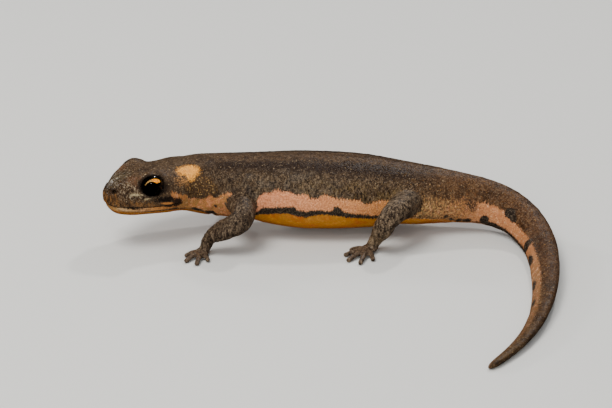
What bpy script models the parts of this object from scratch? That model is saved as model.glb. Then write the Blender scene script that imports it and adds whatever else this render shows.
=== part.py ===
"""Northern banded newt, a young adult in its land dress, life size.

It stands with its head turned a little to its left, and its tail is laid on the floor in a long
bend to the left, leaning over so that its left side faces up. All sizes below are in millimetres;
the last step turns them into metres. +Z is up, the head points along -X, and the animal's left
side faces -Y.
"""

import math

import bmesh
import bpy
import numpy as np
from mathutils import Matrix, Vector

MM = 0.001
GAP = 0.3  # between neighbouring pieces
BODY_SIDES = 28
LIMB_SIDES = 14
TOE_SIDES = 8
RING_STEP = 1.5  # along the trunk and the tail
FLOOR_BITE = 0.1  # what lies on the floor is cut flat by this much

# The head: a straight stretch whose own axes start between the corners of the mouth.
HEAD_AT = Vector((-21.2, -2.2, 8.3))
HEAD_TURN = math.radians(30)  # to the animal's left
HEAD_PITCH = math.radians(2)  # snout up
SNOUT = 9.8  # from the corners of the mouth to the tip
SNOUT_ROUNDING = 1.9
EYE_FORWARD, EYE_LEFT, EYE_UP = 3.65, 2.95, 1.7
EYE_RADIUS = 1.88
EYE_OPENING = 1.66  # radius of what shows of the eyeball
EYE_BACK = -0.6  # where the eye's flat back is, measured outwards from the eyeball's centre
LID_RADIUS = 2.24
LID_DEPTH = 0.3  # how much deeper the lids' ring is centred than the eyeball
NOSTRIL_FORWARD, NOSTRIL_LEFT, NOSTRIL_UP = 8.9, 1.45, 1.1
NOSTRIL_RADIUS, NOSTRIL_DEPTH = 0.28, 0.55
HEAD_END = -3.1  # where the head meets the neck
JAW_END = -0.7  # where the lower jaw meets the throat

# Forward of the mouth's corners: half width, rise above the axis, drop below it, fullness.
HEAD_SECTIONS = (
    (9.8, 2.3, 1.8, 2.4, 2.1),
    (8.1, 2.75, 2.45, 3.0, 2.15),
    (6.4, 3.25, 3.0, 3.45, 2.25),
    (3.6, 3.95, 3.4, 3.7, 2.3),
    (0.0, 4.4, 3.35, 4.0, 2.35),
    (-2.4, 4.4, 3.45, 4.15, 2.35),
)
# The line of the mouth, from behind its corner to past the snout: forward, height.
MOUTH_LINE = ((JAW_END, -1.3), (1.2, -1.6), (4.5, -1.55), (8.0, -1.3), (12.0, -1.1))
# Swellings of the head: forward, left, up, reach, height.
HEAD_SWELLINGS = (
    (-2.6, 3.9, 0.9, 2.2, 0.35),
    (3.6, 3.2, 1.9, 2.2, 0.35),
    (1.2, 4.2, -0.2, 1.6, 0.15),
    (7.4, 2.4, 1.5, 1.1, 0.12),
    (6.4, 3.2, 0.2, 1.0, -0.15),
)

# Neck and trunk: place of the axis, half width, rise, drop, fullness.
TRUNK_SECTIONS = (
    ((-17.0, -0.45, 7.9), 4.3, 4.05, 4.3, 2.35),
    ((-14.4, -0.08, 7.5), 4.6, 4.5, 4.6, 2.3),
    ((-10.7, 0.0, 7.25), 5.0, 4.7, 4.6, 2.3),
    ((-7.6, 0.0, 7.1), 5.35, 4.9, 4.85, 2.3),
    ((-4.6, 0.0, 6.8), 5.75, 5.3, 5.3, 2.3),
    ((0.0, 0.0, 6.52), 6.2, 5.6, 5.6, 2.3),
    ((5.8, 0.0, 6.37), 6.1, 5.5, 5.45, 2.3),
    ((9.6, 0.0, 6.2), 5.7, 5.35, 5.2, 2.25),
    ((14.1, 0.0, 6.0), 4.95, 4.8, 4.65, 2.15),
    ((17.1, 0.0, 5.75), 4.35, 4.55, 4.65, 2.1),
    ((20.1, 0.0, 5.55), 3.7, 4.25, 4.2, 2.05),
)
# The tail: plan of the axis, half thickness, half depth, lean to the outer side in degrees.
# Its height falls from the vent to where it lies on the floor.
TAIL_SECTIONS = (
    ((23.1, -0.05), 3.15, 4.0, 0),
    ((26.3, -0.3), 2.75, 3.55, 8),
    ((29.3, -1.3), 2.45, 3.25, 22),
    ((31.9, -3.3), 2.2, 3.0, 38),
    ((33.6, -6.2), 1.98, 2.75, 48),
    ((34.4, -10.0), 1.75, 2.5, 55),
    ((34.6, -14.5), 1.58, 2.36, 58),
    ((34.4, -19.0), 1.4, 2.18, 60),
    ((33.8, -24.2), 1.2, 1.92, 60),
    ((32.7, -29.3), 1.02, 1.66, 60),
    ((31.0, -34.2), 0.85, 1.38, 60),
    ((28.6, -38.8), 0.7, 1.1, 60),
    ((26.3, -42.1), 0.58, 0.88, 60),
    ((24.5, -44.3), 0.48, 0.68, 60),
)
TAIL_HEIGHTS = (5.15, 4.72, 4.1, 3.25)  # of the first sections, before it lies down
TAIL_FULLNESS = 1.85  # under 2, so that its upper and lower edges are a little keeled
TAIL_ROUNDING = 2.0

# Where the trunk and tail are parted: distances back from the snout's tip.
NECK_BACK = 17.7
TRUNK_MIDDLE = 33.5
TAIL_ROOT = 52.5
TAIL_PARTS = (64.0, 77.0, 92.0)

# Legs: points of the axis with their radius, from inside the body to the wrist or ankle.
LEGS = {
    "front_left": (
        ((-10.2, -2.4, 6.6), 2.0),
        ((-9.8, -4.6, 6.4), 1.95),
        ((-9.2, -7.0, 6.0), 1.85),
        ((-9.7, -8.8, 5.3), 1.75),
        ((-12.0, -9.1, 4.1), 1.6),
        ((-14.4, -8.8, 2.4), 1.0),
        ((-15.0, -9.0, 0.7), 0.75),
    ),
    "front_right": (
        ((-10.2, 2.4, 6.6), 2.0),
        ((-9.8, 4.6, 6.4), 1.95),
        ((-8.9, 7.0, 6.0), 1.85),
        ((-9.0, 8.8, 5.2), 1.75),
        ((-10.6, 9.6, 3.9), 1.6),
        ((-12.4, 9.5, 2.3), 1.0),
        ((-13.0, 9.8, 0.7), 0.75),
    ),
    "hind_left": (
        ((15.4, -2.4, 6.1), 2.2),
        ((15.0, -4.8, 6.3), 2.05),
        ((13.5, -7.6, 6.6), 1.85),
        ((12.2, -9.1, 5.9), 1.65),
        ((11.3, -8.9, 4.1), 1.5),
        ((10.5, -7.9, 2.3), 1.1),
        ((9.6, -8.1, 0.7), 0.8),
    ),
    "hind_right": (
        ((15.4, 2.4, 6.0), 2.2),
        ((15.3, 4.8, 5.9), 2.05),
        ((14.9, 7.4, 5.7), 1.85),
        ((14.3, 9.0, 5.1), 1.65),
        ((14.0, 9.2, 3.8), 1.5),
        ((13.6, 8.8, 2.3), 1.1),
        ((12.8, 9.0, 0.7), 0.8),
    ),
}
# Where each leg is parted, as shares of its length: at the elbow or knee, and at the wrist or ankle.
LEG_PARTS = (0.6, 0.86)
# Palms and soles: middle, heading in degrees from -X towards the leg's own side, half length, half width.
PALM_HEIGHT = 0.62
PALM_THICKNESS = 0.52
PALMS = {
    "front_left": ((-15.3, -9.2), 62, 1.25, 1.05),
    "front_right": ((-13.3, 10.0), 55, 1.25, 1.05),
    "hind_left": ((9.3, -8.3), 50, 1.75, 1.25),
    "hind_right": ((12.5, 9.2), 52, 1.75, 1.25),
}
# Digits, from the innermost outwards: angle off the palm's heading, reach from its middle.
FINGERS = ((-42, 2.8), (-13, 3.8), (17, 3.9), (48, 2.9))
TOES = ((-52, 2.9), (-26, 4.1), (-3, 4.8), (22, 4.7), (50, 3.4))
DIGIT_ROOT = 0.35  # how far from the palm's middle a digit starts, as a share of its reach
DIGIT_RADII = (0.46, 0.38, 0.36, 0.36)
DIGIT_HEIGHTS = (0.6, 0.68, 0.5, 0.27)

COLOURS = {
    "back": (0.075, 0.055, 0.045),
    "belly": (0.75, 0.28, 0.05),
    "tail": (0.11, 0.07, 0.05),
    "leg": (0.085, 0.065, 0.055),
    "eye": (0.01, 0.008, 0.006),
}
ROUGHNESS = {"back": 0.5, "belly": 0.45, "tail": 0.5, "leg": 0.55, "eye": 0.08}


def smooth_rows(rows):
    """A smooth curve through rows of numbers whose first three are a place: its length, and a
    function from a distance along it to a row."""
    rows = np.array(rows, float)
    steps = np.linalg.norm(np.diff(rows[:, :3], axis=0), axis=1)
    knots = np.concatenate([[0.0], np.cumsum(steps)])
    slopes = np.gradient(rows, knots, axis=0)

    def at(distance):
        last = len(knots) - 2
        i = int(np.clip(np.searchsorted(knots, distance) - 1, 0, last))
        span = knots[i + 1] - knots[i]
        u = (distance - knots[i]) / span
        start = rows[i] * (1 + 2 * u) * (1 - u) ** 2 + rows[i + 1] * u * u * (3 - 2 * u)
        return start + span * (slopes[i] * u * (1 - u) ** 2 - slopes[i + 1] * u * u * (1 - u))

    return knots[-1], at


def heading_of(at, distance, length):
    """The direction of a smooth curve, as a unit vector."""
    near = 0.02
    ahead = at(min(distance + near, length))[:3]
    behind = at(max(distance - near, 0.0))[:3]
    return Vector(ahead - behind).normalized()


def round_off(distance, reach):
    """How full an end is this far from its tip: 0 at the tip, 1 from reach onwards."""
    share = min(max(distance / reach, 0.0), 1.0)
    return math.sqrt(1 - (1 - share) ** 2)


def power(value, exponent):
    return math.copysign(abs(value) ** exponent, value)


def loft(rings):
    """A closed mesh through rings of points, its two ends closed flat."""
    shape = bmesh.new()
    loops = [[shape.verts.new(point) for point in ring] for ring in rings]
    count = len(loops[0])
    for one, two in zip(loops, loops[1:]):
        for i in range(count):
            j = (i + 1) % count
            shape.faces.new((one[i], one[j], two[j], two[i]))
    shape.faces.new(loops[0][::-1])
    shape.faces.new(loops[-1])
    bmesh.ops.recalc_face_normals(shape, faces=shape.faces)
    return shape


def ball(centre, radii, turn, sides, rows):
    """A closed ellipsoid, turned by a matrix."""
    shape = bmesh.new()
    bmesh.ops.create_uvsphere(shape, u_segments=sides, v_segments=rows, radius=1.0)
    place = Matrix.Translation(centre) @ turn.to_4x4() @ Matrix.Diagonal((*radii, 1.0))
    bmesh.ops.transform(shape, matrix=place, verts=shape.verts)
    return shape


def rod(start, direction, radius, length, sides):
    """A closed round rod from start along direction."""
    shape = bmesh.new()
    bmesh.ops.create_cone(
        shape, cap_ends=True, segments=sides, radius1=radius, radius2=radius, depth=length
    )
    turn = direction.to_track_quat("Z", "Y").to_matrix().to_4x4()
    middle = start + direction * (length / 2)
    bmesh.ops.transform(shape, matrix=Matrix.Translation(middle) @ turn, verts=shape.verts)
    return shape


def add_object(name, shape, colour):
    mesh = bpy.data.meshes.new(name)
    bmesh.ops.triangulate(shape, faces=shape.faces)
    shape.to_mesh(mesh)
    shape.free()
    obj = bpy.data.objects.new(name, mesh)
    bpy.context.scene.collection.objects.link(obj)
    mesh.materials.append(make_material(name, colour))
    return obj


def make_material(name, colour):
    material = bpy.data.materials.new(name)
    material.use_nodes = True
    shader = material.node_tree.nodes["Principled BSDF"]
    shader.inputs["Base Color"].default_value = (*COLOURS[colour], 1.0)
    shader.inputs["Roughness"].default_value = ROUGHNESS[colour]
    shader.inputs["Metallic"].default_value = 0.0
    return material


def combine(target, shapes, operation):
    """Joins closed shapes to an object, or cuts them from it, with one Boolean."""
    group = bpy.data.collections.new("tools")
    bpy.context.scene.collection.children.link(group)
    for shape in shapes:
        mesh = bpy.data.meshes.new("tool")
        bmesh.ops.triangulate(shape, faces=shape.faces)
        shape.to_mesh(mesh)
        shape.free()
        group.objects.link(bpy.data.objects.new("tool", mesh))
    modifier = target.modifiers.new("combine", "BOOLEAN")
    modifier.operation = operation
    modifier.operand_type = "COLLECTION"
    modifier.collection = group
    modifier.solver = "EXACT"
    modifier.use_self = operation == "UNION"
    bpy.context.view_layer.update()
    result = target.evaluated_get(bpy.context.evaluated_depsgraph_get())
    made = bpy.data.meshes.new_from_object(result)
    target.modifiers.clear()
    target.data = made
    for tool in list(group.objects):
        bpy.data.objects.remove(tool)
    bpy.data.collections.remove(group)
    return target


def closed_parts(obj):
    """The separate closed surfaces of an object, largest first, as shapes."""
    whole = bmesh.new()
    whole.from_mesh(obj.data)
    unseen = set(whole.verts)
    groups = []
    while unseen:
        group = set()
        front = [unseen.pop()]
        while front:
            vertex = front.pop()
            group.add(vertex)
            for edge in vertex.link_edges:
                other = edge.other_vert(vertex)
                if other in unseen:
                    unseen.discard(other)
                    front.append(other)
        groups.append(group)
    parts = []
    for group in groups:
        part = bmesh.new()
        copies = {vertex: part.verts.new(vertex.co) for vertex in group}
        for face in whole.faces:
            if face.verts[0] in copies:
                part.faces.new([copies[vertex] for vertex in face.verts])
        bmesh.ops.dissolve_degenerate(part, dist=1e-4, edges=part.edges)
        parts.append(part)
    whole.free()
    return sorted(parts, key=lambda part: -part.calc_volume())


def keep_largest(obj):
    parts = closed_parts(obj)
    parts[0].to_mesh(obj.data)
    for part in parts:
        part.free()
    return obj


def cut_at_floor(obj):
    """Cuts off what reaches below the floor, and closes the cut with a flat."""
    shape = bmesh.new()
    shape.from_mesh(obj.data)
    cut = bmesh.ops.bisect_plane(
        shape,
        geom=list(shape.verts) + list(shape.edges) + list(shape.faces),
        dist=1e-4,
        plane_co=(0, 0, 0),
        plane_no=(0, 0, 1),
        clear_inner=True,
    )
    edges = [e for e in cut["geom_cut"] if isinstance(e, bmesh.types.BMEdge)]
    if edges:
        bmesh.ops.holes_fill(shape, edges=edges)
        bmesh.ops.triangulate(shape, faces=shape.faces)
    shape.to_mesh(obj.data)
    shape.free()
    return obj


# The head's own axes.
FORWARD = Vector(
    (
        -math.cos(HEAD_TURN) * math.cos(HEAD_PITCH),
        -math.sin(HEAD_TURN) * math.cos(HEAD_PITCH),
        math.sin(HEAD_PITCH),
    )
)
LEFT = Vector((math.sin(HEAD_TURN), -math.cos(HEAD_TURN), 0.0))
UP = LEFT.cross(-FORWARD)


def on_head(forward, left, up):
    """A point given in the head's own axes."""
    return HEAD_AT + FORWARD * forward + LEFT * left + UP * up


def vertical_reach(thickness, depth, lean):
    """How far a leaning oval section reaches below its middle."""
    lean = math.radians(lean)
    return math.hypot(thickness * math.sin(lean), depth * math.cos(lean))


def body_rows():
    """Sections from the snout to the tail's tip: place, half width, rise, drop, fullness, lean."""
    rows = []
    for forward, width, rise, drop, fullness in HEAD_SECTIONS:
        rows.append((*on_head(forward, 0, 0), width, rise, drop, fullness, 0))
    for place, width, rise, drop, fullness in TRUNK_SECTIONS:
        rows.append((*place, width, rise, drop, fullness, 0))
    for i, (plan, thickness, depth, lean) in enumerate(TAIL_SECTIONS):
        lying = vertical_reach(thickness, depth, lean) - FLOOR_BITE
        height = TAIL_HEIGHTS[i] if i < len(TAIL_HEIGHTS) else lying
        rows.append((*plan, height, thickness, depth, depth, TAIL_FULLNESS, lean))
    return rows


BODY_LENGTH, BODY_AT = smooth_rows(body_rows())


def body_ring(distance, grow=0.0, facing=None):
    """The body's section this far back from the tip of the snout, square to the body there, or
    to where the body is parted."""
    x, y, z, width, rise, drop, fullness, lean = BODY_AT(distance)
    back = heading_of(BODY_AT, distance if facing is None else facing, BODY_LENGTH)
    left = back.cross(Vector((0, 0, 1))).normalized()
    up = left.cross(back)
    lean = math.radians(lean)
    leaning_up = up * math.cos(lean) - left * math.sin(lean)
    leaning_left = left * math.cos(lean) + up * math.sin(lean)
    full = round_off(distance, SNOUT_ROUNDING) * round_off(BODY_LENGTH - distance, TAIL_ROUNDING)
    ring = []
    for i in range(BODY_SIDES):
        angle = 2 * math.pi * i / BODY_SIDES
        across = power(math.cos(angle), 2 / fullness) * (width * full + grow)
        height = rise if math.sin(angle) > 0 else drop
        along = power(math.sin(angle), 2 / fullness) * (height * full + grow)
        ring.append(Vector((x, y, z)) + leaning_left * across + leaning_up * along)
    return ring


def spread(start, end, step):
    """Evenly spaced distances from start to end, about a step apart."""
    count = max(2, round((end - start) / step) + 1)
    return np.linspace(start, end, count)


def swell(shape):
    """Raises and lowers the head's surface round its swellings, on both sides."""
    for vertex in shape.verts:
        away = vertex.co - HEAD_AT
        radial = LEFT * away.dot(LEFT) + UP * away.dot(UP)
        move = 0.0
        for forward, left, up, reach, height in HEAD_SWELLINGS:
            for side in (1, -1):
                apart = (vertex.co - on_head(forward, side * left, up)).length
                move += height * math.exp(-((apart / reach) ** 2))
        if radial.length > 0.01:
            vertex.co += radial.normalized() * move
    return shape


def make_head():
    """The head with its lids, nostrils and mouth, parted into upper head and lower jaw."""
    back = SNOUT - HEAD_END
    distances = [0.02, 0.15, 0.4, 0.75, 1.2, 1.75, *spread(2.4, back - 0.8, 0.8)]
    rings = [*(body_ring(d) for d in distances), body_ring(back - GAP / 2, facing=back)]
    whole = add_object("head", swell(loft(rings)), "back")
    lids, openings, eyes, nostrils = [], [], [], []
    for side in (1, -1):
        centre = on_head(EYE_FORWARD, side * EYE_LEFT, EYE_UP)
        gaze = (LEFT * side + UP * 0.3 + FORWARD * 0.12).normalized()
        turn = gaze.to_track_quat("Z", "Y").to_matrix()
        lids.append(ball(centre - gaze * LID_DEPTH, (LID_RADIUS,) * 3, turn, 24, 14))
        openings.append(rod(centre + gaze * (EYE_BACK - GAP), gaze, EYE_OPENING + GAP, 4, 24))
        eye = add_object(
            "eye_left" if side > 0 else "eye_right",
            ball(centre, (EYE_RADIUS,) * 3, turn, 24, 16),
            "eye",
        )
        combine(eye, [rod(centre + gaze * EYE_BACK, gaze, EYE_OPENING, 4, 24)], "INTERSECT")
        eyes.append(eye)
        nostril = on_head(NOSTRIL_FORWARD, side * NOSTRIL_LEFT, NOSTRIL_UP)
        outward = (LEFT * side * 0.8 + FORWARD + UP * 0.3).normalized()
        start = nostril - outward * NOSTRIL_DEPTH
        nostrils.append(rod(start, outward, NOSTRIL_RADIUS, 2 * NOSTRIL_DEPTH + 0.6, 10))
    combine(whole, lids, "UNION")
    combine(whole, openings + nostrils + [mouth_cutter()], "DIFFERENCE")
    upper, lower = closed_parts(whole)[:2]
    upper.to_mesh(whole.data)
    upper.free()
    add_object("lower_jaw", lower, "belly")


def mouth_cutter():
    """A thin slab along the line of the mouth, and down behind the lower jaw."""
    half = GAP / 2
    upper = [(forward, height + half) for forward, height in MOUTH_LINE]
    lower = [(forward, height - half) for forward, height in MOUTH_LINE]
    first = lower[0][0]
    deep = -8.0
    outline = [*upper, *lower[:0:-1], (first + GAP, lower[0][1])]
    outline += [(first + GAP, deep), (first, deep)]
    wide = 8.0
    shape = bmesh.new()
    near = [shape.verts.new(on_head(f, wide, h)) for f, h in outline]
    far = [shape.verts.new(on_head(f, -wide, h)) for f, h in outline]
    shape.faces.new(near)
    shape.faces.new(far[::-1])
    for i in range(len(near)):
        j = (i + 1) % len(near)
        shape.faces.new((near[i], far[i], far[j], near[j]))
    bmesh.ops.recalc_face_normals(shape, faces=shape.faces)
    return shape


def body_rings(start, end):
    """The body's sections between two parting places, with half a gap left at each."""
    inner = spread(start + GAP / 2, end - GAP / 2, RING_STEP)[1:-1]
    first = body_ring(start + GAP / 2, facing=start)
    last = body_ring(end - GAP / 2, facing=end)
    return [first, *(body_ring(d) for d in inner), last]


def make_trunk_and_tail():
    places = (SNOUT - HEAD_END, NECK_BACK, TRUNK_MIDDLE, TAIL_ROOT)
    for name, start, end in zip(("neck", "trunk_front", "trunk_rear"), places, places[1:]):
        add_object(name, loft(body_rings(start, end)), "back")
    tip = BODY_LENGTH - TAIL_ROUNDING
    places = (TAIL_ROOT, *TAIL_PARTS, tip)
    for i, (start, end) in enumerate(zip(places, places[1:]), 1):
        rings = body_rings(start, end)
        if end == tip:
            rings += [body_ring(tip + TAIL_ROUNDING * s) for s in (0.35, 0.6, 0.8, 0.92, 0.99)]
        cut_at_floor(add_object(f"tail_{i}", loft(rings), "tail"))


def tube(rows, start, end, sides, step, rounding=0.0):
    """A round tube along a smooth curve through places with radii, between two parting places:
    half a gap is left at each, except at the curve's own ends."""
    length, at = smooth_rows([(*place, radius) for place, radius in rows])
    end = min(end, length)
    first = start + (GAP / 2 if start > 0 else 0)
    last = end - (GAP / 2 if end < length else rounding)
    distances = list(spread(first, last, step))
    if rounding:
        distances += [end - rounding * share for share in (0.6, 0.3, 0.1, 0.01)]
    rings = []
    across = None
    for distance in distances:
        facing = start if distance == first else end if distance == last else distance
        heading = heading_of(at, facing, length)
        if across is None:
            across = heading.orthogonal()
        across = (across - heading * across.dot(heading)).normalized()
        other = heading.cross(across)
        x, y, z, radius = at(distance)
        if rounding:
            radius *= round_off(end - distance, rounding)
        ring = []
        for i in range(sides):
            angle = 2 * math.pi * i / sides
            ring.append(
                Vector((x, y, z)) + (across * math.cos(angle) + other * math.sin(angle)) * radius
            )
        rings.append(ring)
    return loft(rings)


def make_foot(leg, start, name):
    """A hand or foot: the end of the leg, the palm and the digits, joined into one."""
    side = -1 if leg.endswith("left") else 1
    (x, y), turn, long, wide = PALMS[leg]
    foot = add_object(name, tube(LEGS[leg], start, math.inf, LIMB_SIDES, 0.7), "leg")
    middle = Vector((x, y, PALM_HEIGHT))

    def direction(degrees):
        angle = math.radians(degrees)
        return Vector((-math.cos(angle), side * math.sin(angle), 0.0))

    level = Matrix.Rotation(math.atan2(direction(turn).y, direction(turn).x), 3, "Z")
    pieces = [ball(middle, (long, wide, PALM_THICKNESS), level, 16, 8)]
    for angle, reach in FINGERS if leg.startswith("front") else TOES:
        out = direction(turn + angle)
        rows = []
        shares = np.linspace(DIGIT_ROOT, 1.0, len(DIGIT_RADII))
        for share, radius, height in zip(shares, DIGIT_RADII, DIGIT_HEIGHTS):
            place = middle + out * (reach * share)
            rows.append(((place.x, place.y, height), radius))
        pieces.append(tube(rows, 0.0, math.inf, TOE_SIDES, 0.6, rounding=0.35))
    combine(foot, pieces, "UNION")
    keep_largest(foot)
    cut_at_floor(foot)


def make_leg(leg):
    """Upper leg, lower leg and foot, the first cut to stand clear of the trunk."""
    upper, lower, end = (
        ("upper_arm", "forearm", "hand") if leg.startswith("front") else ("thigh", "shin", "foot")
    )
    side = leg.split("_")[1]
    rows = LEGS[leg]
    length, _ = smooth_rows([(*place, radius) for place, radius in rows])
    bend, wrist = (length * share for share in LEG_PARTS)
    top = add_object(f"{upper}_{side}", tube(rows, 0.0, bend, LIMB_SIDES, 0.8), "leg")
    trunk = loft([body_ring(d, grow=GAP) for d in spread(14.0, 54.0, 1.0)])
    combine(top, [trunk], "DIFFERENCE")
    keep_largest(top)
    add_object(f"{lower}_{side}", tube(rows, bend, wrist, LIMB_SIDES, 0.8), "leg")
    make_foot(leg, wrist, f"{end}_{side}")


def finish():
    """Puts the origin on the floor under the middle of the animal's box, turns millimetres into
    metres, and shades the surfaces smooth."""
    objects = bpy.context.scene.objects
    points = np.array([vertex.co for obj in objects for vertex in obj.data.vertices])
    middle = (points.min(axis=0) + points.max(axis=0)) / 2
    place = Matrix.Scale(MM, 4) @ Matrix.Translation((-middle[0], -middle[1], 0.0))
    for obj in objects:
        obj.data.transform(place)
        obj.data.shade_smooth()
        obj.data.set_sharp_from_angle(angle=math.radians(40))


def main():
    for obj in list(bpy.data.objects):
        bpy.data.objects.remove(obj)
    make_head()
    make_trunk_and_tail()
    for leg in LEGS:
        make_leg(leg)
    finish()


main()
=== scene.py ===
# %% [markdown]
# A northern banded newt in its land dress, as a life-size museum model.
# The solids of the CAD model come in first and stay where they are. Then one skin is cast over
# them, the lids, lips and nostrils are worked into it, it is painted with the newt's markings, and
# two wet eyes, a floor, soft lights and a camera finish the picture. Sizes here are in
# millimetres, and are turned into Blender's metres where an object is made.

# %% Load the solids
import math

import bpy
import numpy as np
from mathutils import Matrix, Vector, noise
from mathutils.bvhtree import BVHTree
from mathutils.kdtree import KDTree


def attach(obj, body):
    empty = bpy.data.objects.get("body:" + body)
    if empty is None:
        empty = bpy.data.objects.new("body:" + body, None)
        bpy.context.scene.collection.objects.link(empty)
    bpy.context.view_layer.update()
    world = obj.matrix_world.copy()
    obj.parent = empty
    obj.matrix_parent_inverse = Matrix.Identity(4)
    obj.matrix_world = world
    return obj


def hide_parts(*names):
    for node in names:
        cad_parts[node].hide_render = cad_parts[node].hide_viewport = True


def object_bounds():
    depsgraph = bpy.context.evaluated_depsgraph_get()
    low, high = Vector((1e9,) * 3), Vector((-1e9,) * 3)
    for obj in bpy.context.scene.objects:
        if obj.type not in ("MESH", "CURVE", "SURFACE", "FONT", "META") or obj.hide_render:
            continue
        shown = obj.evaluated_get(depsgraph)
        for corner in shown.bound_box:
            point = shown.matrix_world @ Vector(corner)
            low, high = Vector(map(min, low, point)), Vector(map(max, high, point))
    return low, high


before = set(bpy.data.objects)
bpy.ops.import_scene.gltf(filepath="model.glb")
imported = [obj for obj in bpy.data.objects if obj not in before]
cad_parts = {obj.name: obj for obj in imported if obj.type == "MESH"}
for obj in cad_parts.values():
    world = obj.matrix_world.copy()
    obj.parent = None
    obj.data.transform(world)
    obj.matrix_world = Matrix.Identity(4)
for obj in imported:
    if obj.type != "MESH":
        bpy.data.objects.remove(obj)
solids_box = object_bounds()
MM = 0.001
print("solids:", len(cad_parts), "nodes, box", [tuple(corner) for corner in solids_box])

# %% [markdown]
# Every marking on a newt keeps its place along the body and round it, so the first thing to know
# is the line of the body itself. It could be drawn as a curve object and read back; here it is a
# short list of sections, the same that the solids were lofted from, and a smooth curve through
# them. Each row holds a place, the half width, the rise above and drop below it, and the lean of
# the section, because the tail lies over on its right side.

# %% The line of the body
SOLIDS_SHIFT = np.array((-3.3397, 15.3009, 0.0))  # from the sections' own origin to the frame's
HEAD_AT = Vector((-21.2, -2.2, 8.3))
HEAD_TURN = math.radians(30)
HEAD_PITCH = math.radians(2)
LINE_SPACING = 0.1
HEAD_FORWARD = Vector(
    (
        -math.cos(HEAD_TURN) * math.cos(HEAD_PITCH),
        -math.sin(HEAD_TURN) * math.cos(HEAD_PITCH),
        math.sin(HEAD_PITCH),
    )
)
HEAD_LEFT = Vector((math.sin(HEAD_TURN), -math.cos(HEAD_TURN), 0.0))
HEAD_UP = HEAD_LEFT.cross(-HEAD_FORWARD)

HEAD_SECTIONS = (
    (9.8, 2.3, 1.8, 2.4),
    (8.1, 2.75, 2.45, 3.0),
    (6.4, 3.25, 3.0, 3.45),
    (3.6, 3.95, 3.4, 3.7),
    (0.0, 4.4, 3.35, 4.0),
    (-2.4, 4.4, 3.45, 4.15),
)
TRUNK_SECTIONS = (
    ((-17.0, -0.45, 7.9), 4.3, 4.05, 4.3),
    ((-14.4, -0.08, 7.5), 4.6, 4.5, 4.6),
    ((-10.7, 0.0, 7.25), 5.0, 4.7, 4.6),
    ((-7.6, 0.0, 7.1), 5.35, 4.9, 4.85),
    ((-4.6, 0.0, 6.8), 5.75, 5.3, 5.3),
    ((0.0, 0.0, 6.52), 6.2, 5.6, 5.6),
    ((5.8, 0.0, 6.37), 6.1, 5.5, 5.45),
    ((9.6, 0.0, 6.2), 5.7, 5.35, 5.2),
    ((14.1, 0.0, 6.0), 4.95, 4.8, 4.65),
    ((17.1, 0.0, 5.75), 4.35, 4.55, 4.65),
    ((20.1, 0.0, 5.55), 3.7, 4.25, 4.2),
)
TAIL_SECTIONS = (
    ((23.1, -0.05, 5.15), 3.15, 4.0, 0),
    ((26.3, -0.3, 4.72), 2.75, 3.55, 8),
    ((29.3, -1.3, 4.1), 2.45, 3.25, 22),
    ((31.9, -3.3, 3.25), 2.2, 3.0, 38),
    ((33.6, -6.2, 2.25), 1.98, 2.75, 48),
    ((34.4, -10.0, 1.93), 1.75, 2.5, 55),
    ((34.6, -14.5, 1.73), 1.58, 2.36, 58),
    ((34.4, -19.0, 1.53), 1.4, 2.18, 60),
    ((33.8, -24.2, 1.31), 1.2, 1.92, 60),
    ((32.7, -29.3, 1.11), 1.02, 1.66, 60),
    ((31.0, -34.2, 0.91), 0.85, 1.38, 60),
    ((28.6, -38.8, 0.72), 0.7, 1.1, 60),
    ((26.3, -42.1, 0.57), 0.58, 0.88, 60),
    ((24.5, -44.3, 0.44), 0.48, 0.68, 60),
)


def on_head(forward, left, up):
    """A point given in the head's own axes, from between the corners of the mouth."""
    return HEAD_AT + HEAD_FORWARD * forward + HEAD_LEFT * left + HEAD_UP * up


def body_rows():
    """The sections from the snout to the tail's tip, in one array."""
    rows = [(*on_head(f, 0, 0), wide, rise, drop, 0) for f, wide, rise, drop in HEAD_SECTIONS]
    rows += [(*place, wide, rise, drop, 0) for place, wide, rise, drop in TRUNK_SECTIONS]
    rows += [(*place, wide, deep, deep, lean) for place, wide, deep, lean in TAIL_SECTIONS]
    return np.array(rows, float)


def smooth_line(rows, spacing):
    """Points evenly spaced along a smooth curve through rows, and how far along each is."""
    steps = np.linalg.norm(np.diff(rows[:, :3], axis=0), axis=1)
    knots = np.concatenate([[0.0], np.cumsum(steps)])
    slopes = np.gradient(rows, knots, axis=0)
    along = np.arange(0.0, knots[-1], spacing)
    i = np.clip(np.searchsorted(knots, along) - 1, 0, len(knots) - 2)
    span = (knots[i + 1] - knots[i])[:, None]
    u = (along - knots[i])[:, None] / span
    points = rows[i] * (1 + 2 * u) * (1 - u) ** 2 + rows[i + 1] * u * u * (3 - 2 * u)
    points += span * (slopes[i] * u * (1 - u) ** 2 - slopes[i + 1] * u * u * (1 - u))
    return along, points


def unit(vectors):
    return vectors / np.linalg.norm(vectors, axis=-1, keepdims=True)


LINE_ALONG, LINE = smooth_line(body_rows(), LINE_SPACING)
LINE_BACK = unit(np.gradient(LINE[:, :3], axis=0))
LINE_LEFT = unit(np.cross(LINE_BACK, (0, 0, 1)))
LINE_UP = np.cross(LINE_LEFT, LINE_BACK)
lean = np.radians(LINE[:, 6])[:, None]
LINE_LEFT, LINE_UP = (
    LINE_LEFT * np.cos(lean) + LINE_UP * np.sin(lean),
    LINE_UP * np.cos(lean) - LINE_LEFT * np.sin(lean),
)
LINE[:, :3] += SOLIDS_SHIFT
BODY_LENGTH = LINE_ALONG[-1]
print("the body's line is", round(BODY_LENGTH, 1), "mm long")


def head_point(forward, left, up):
    """A point given in the head's own axes, in the frame's millimetres, as an array."""
    return np.array(on_head(forward, left, up)) + SOLIDS_SHIFT


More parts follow.
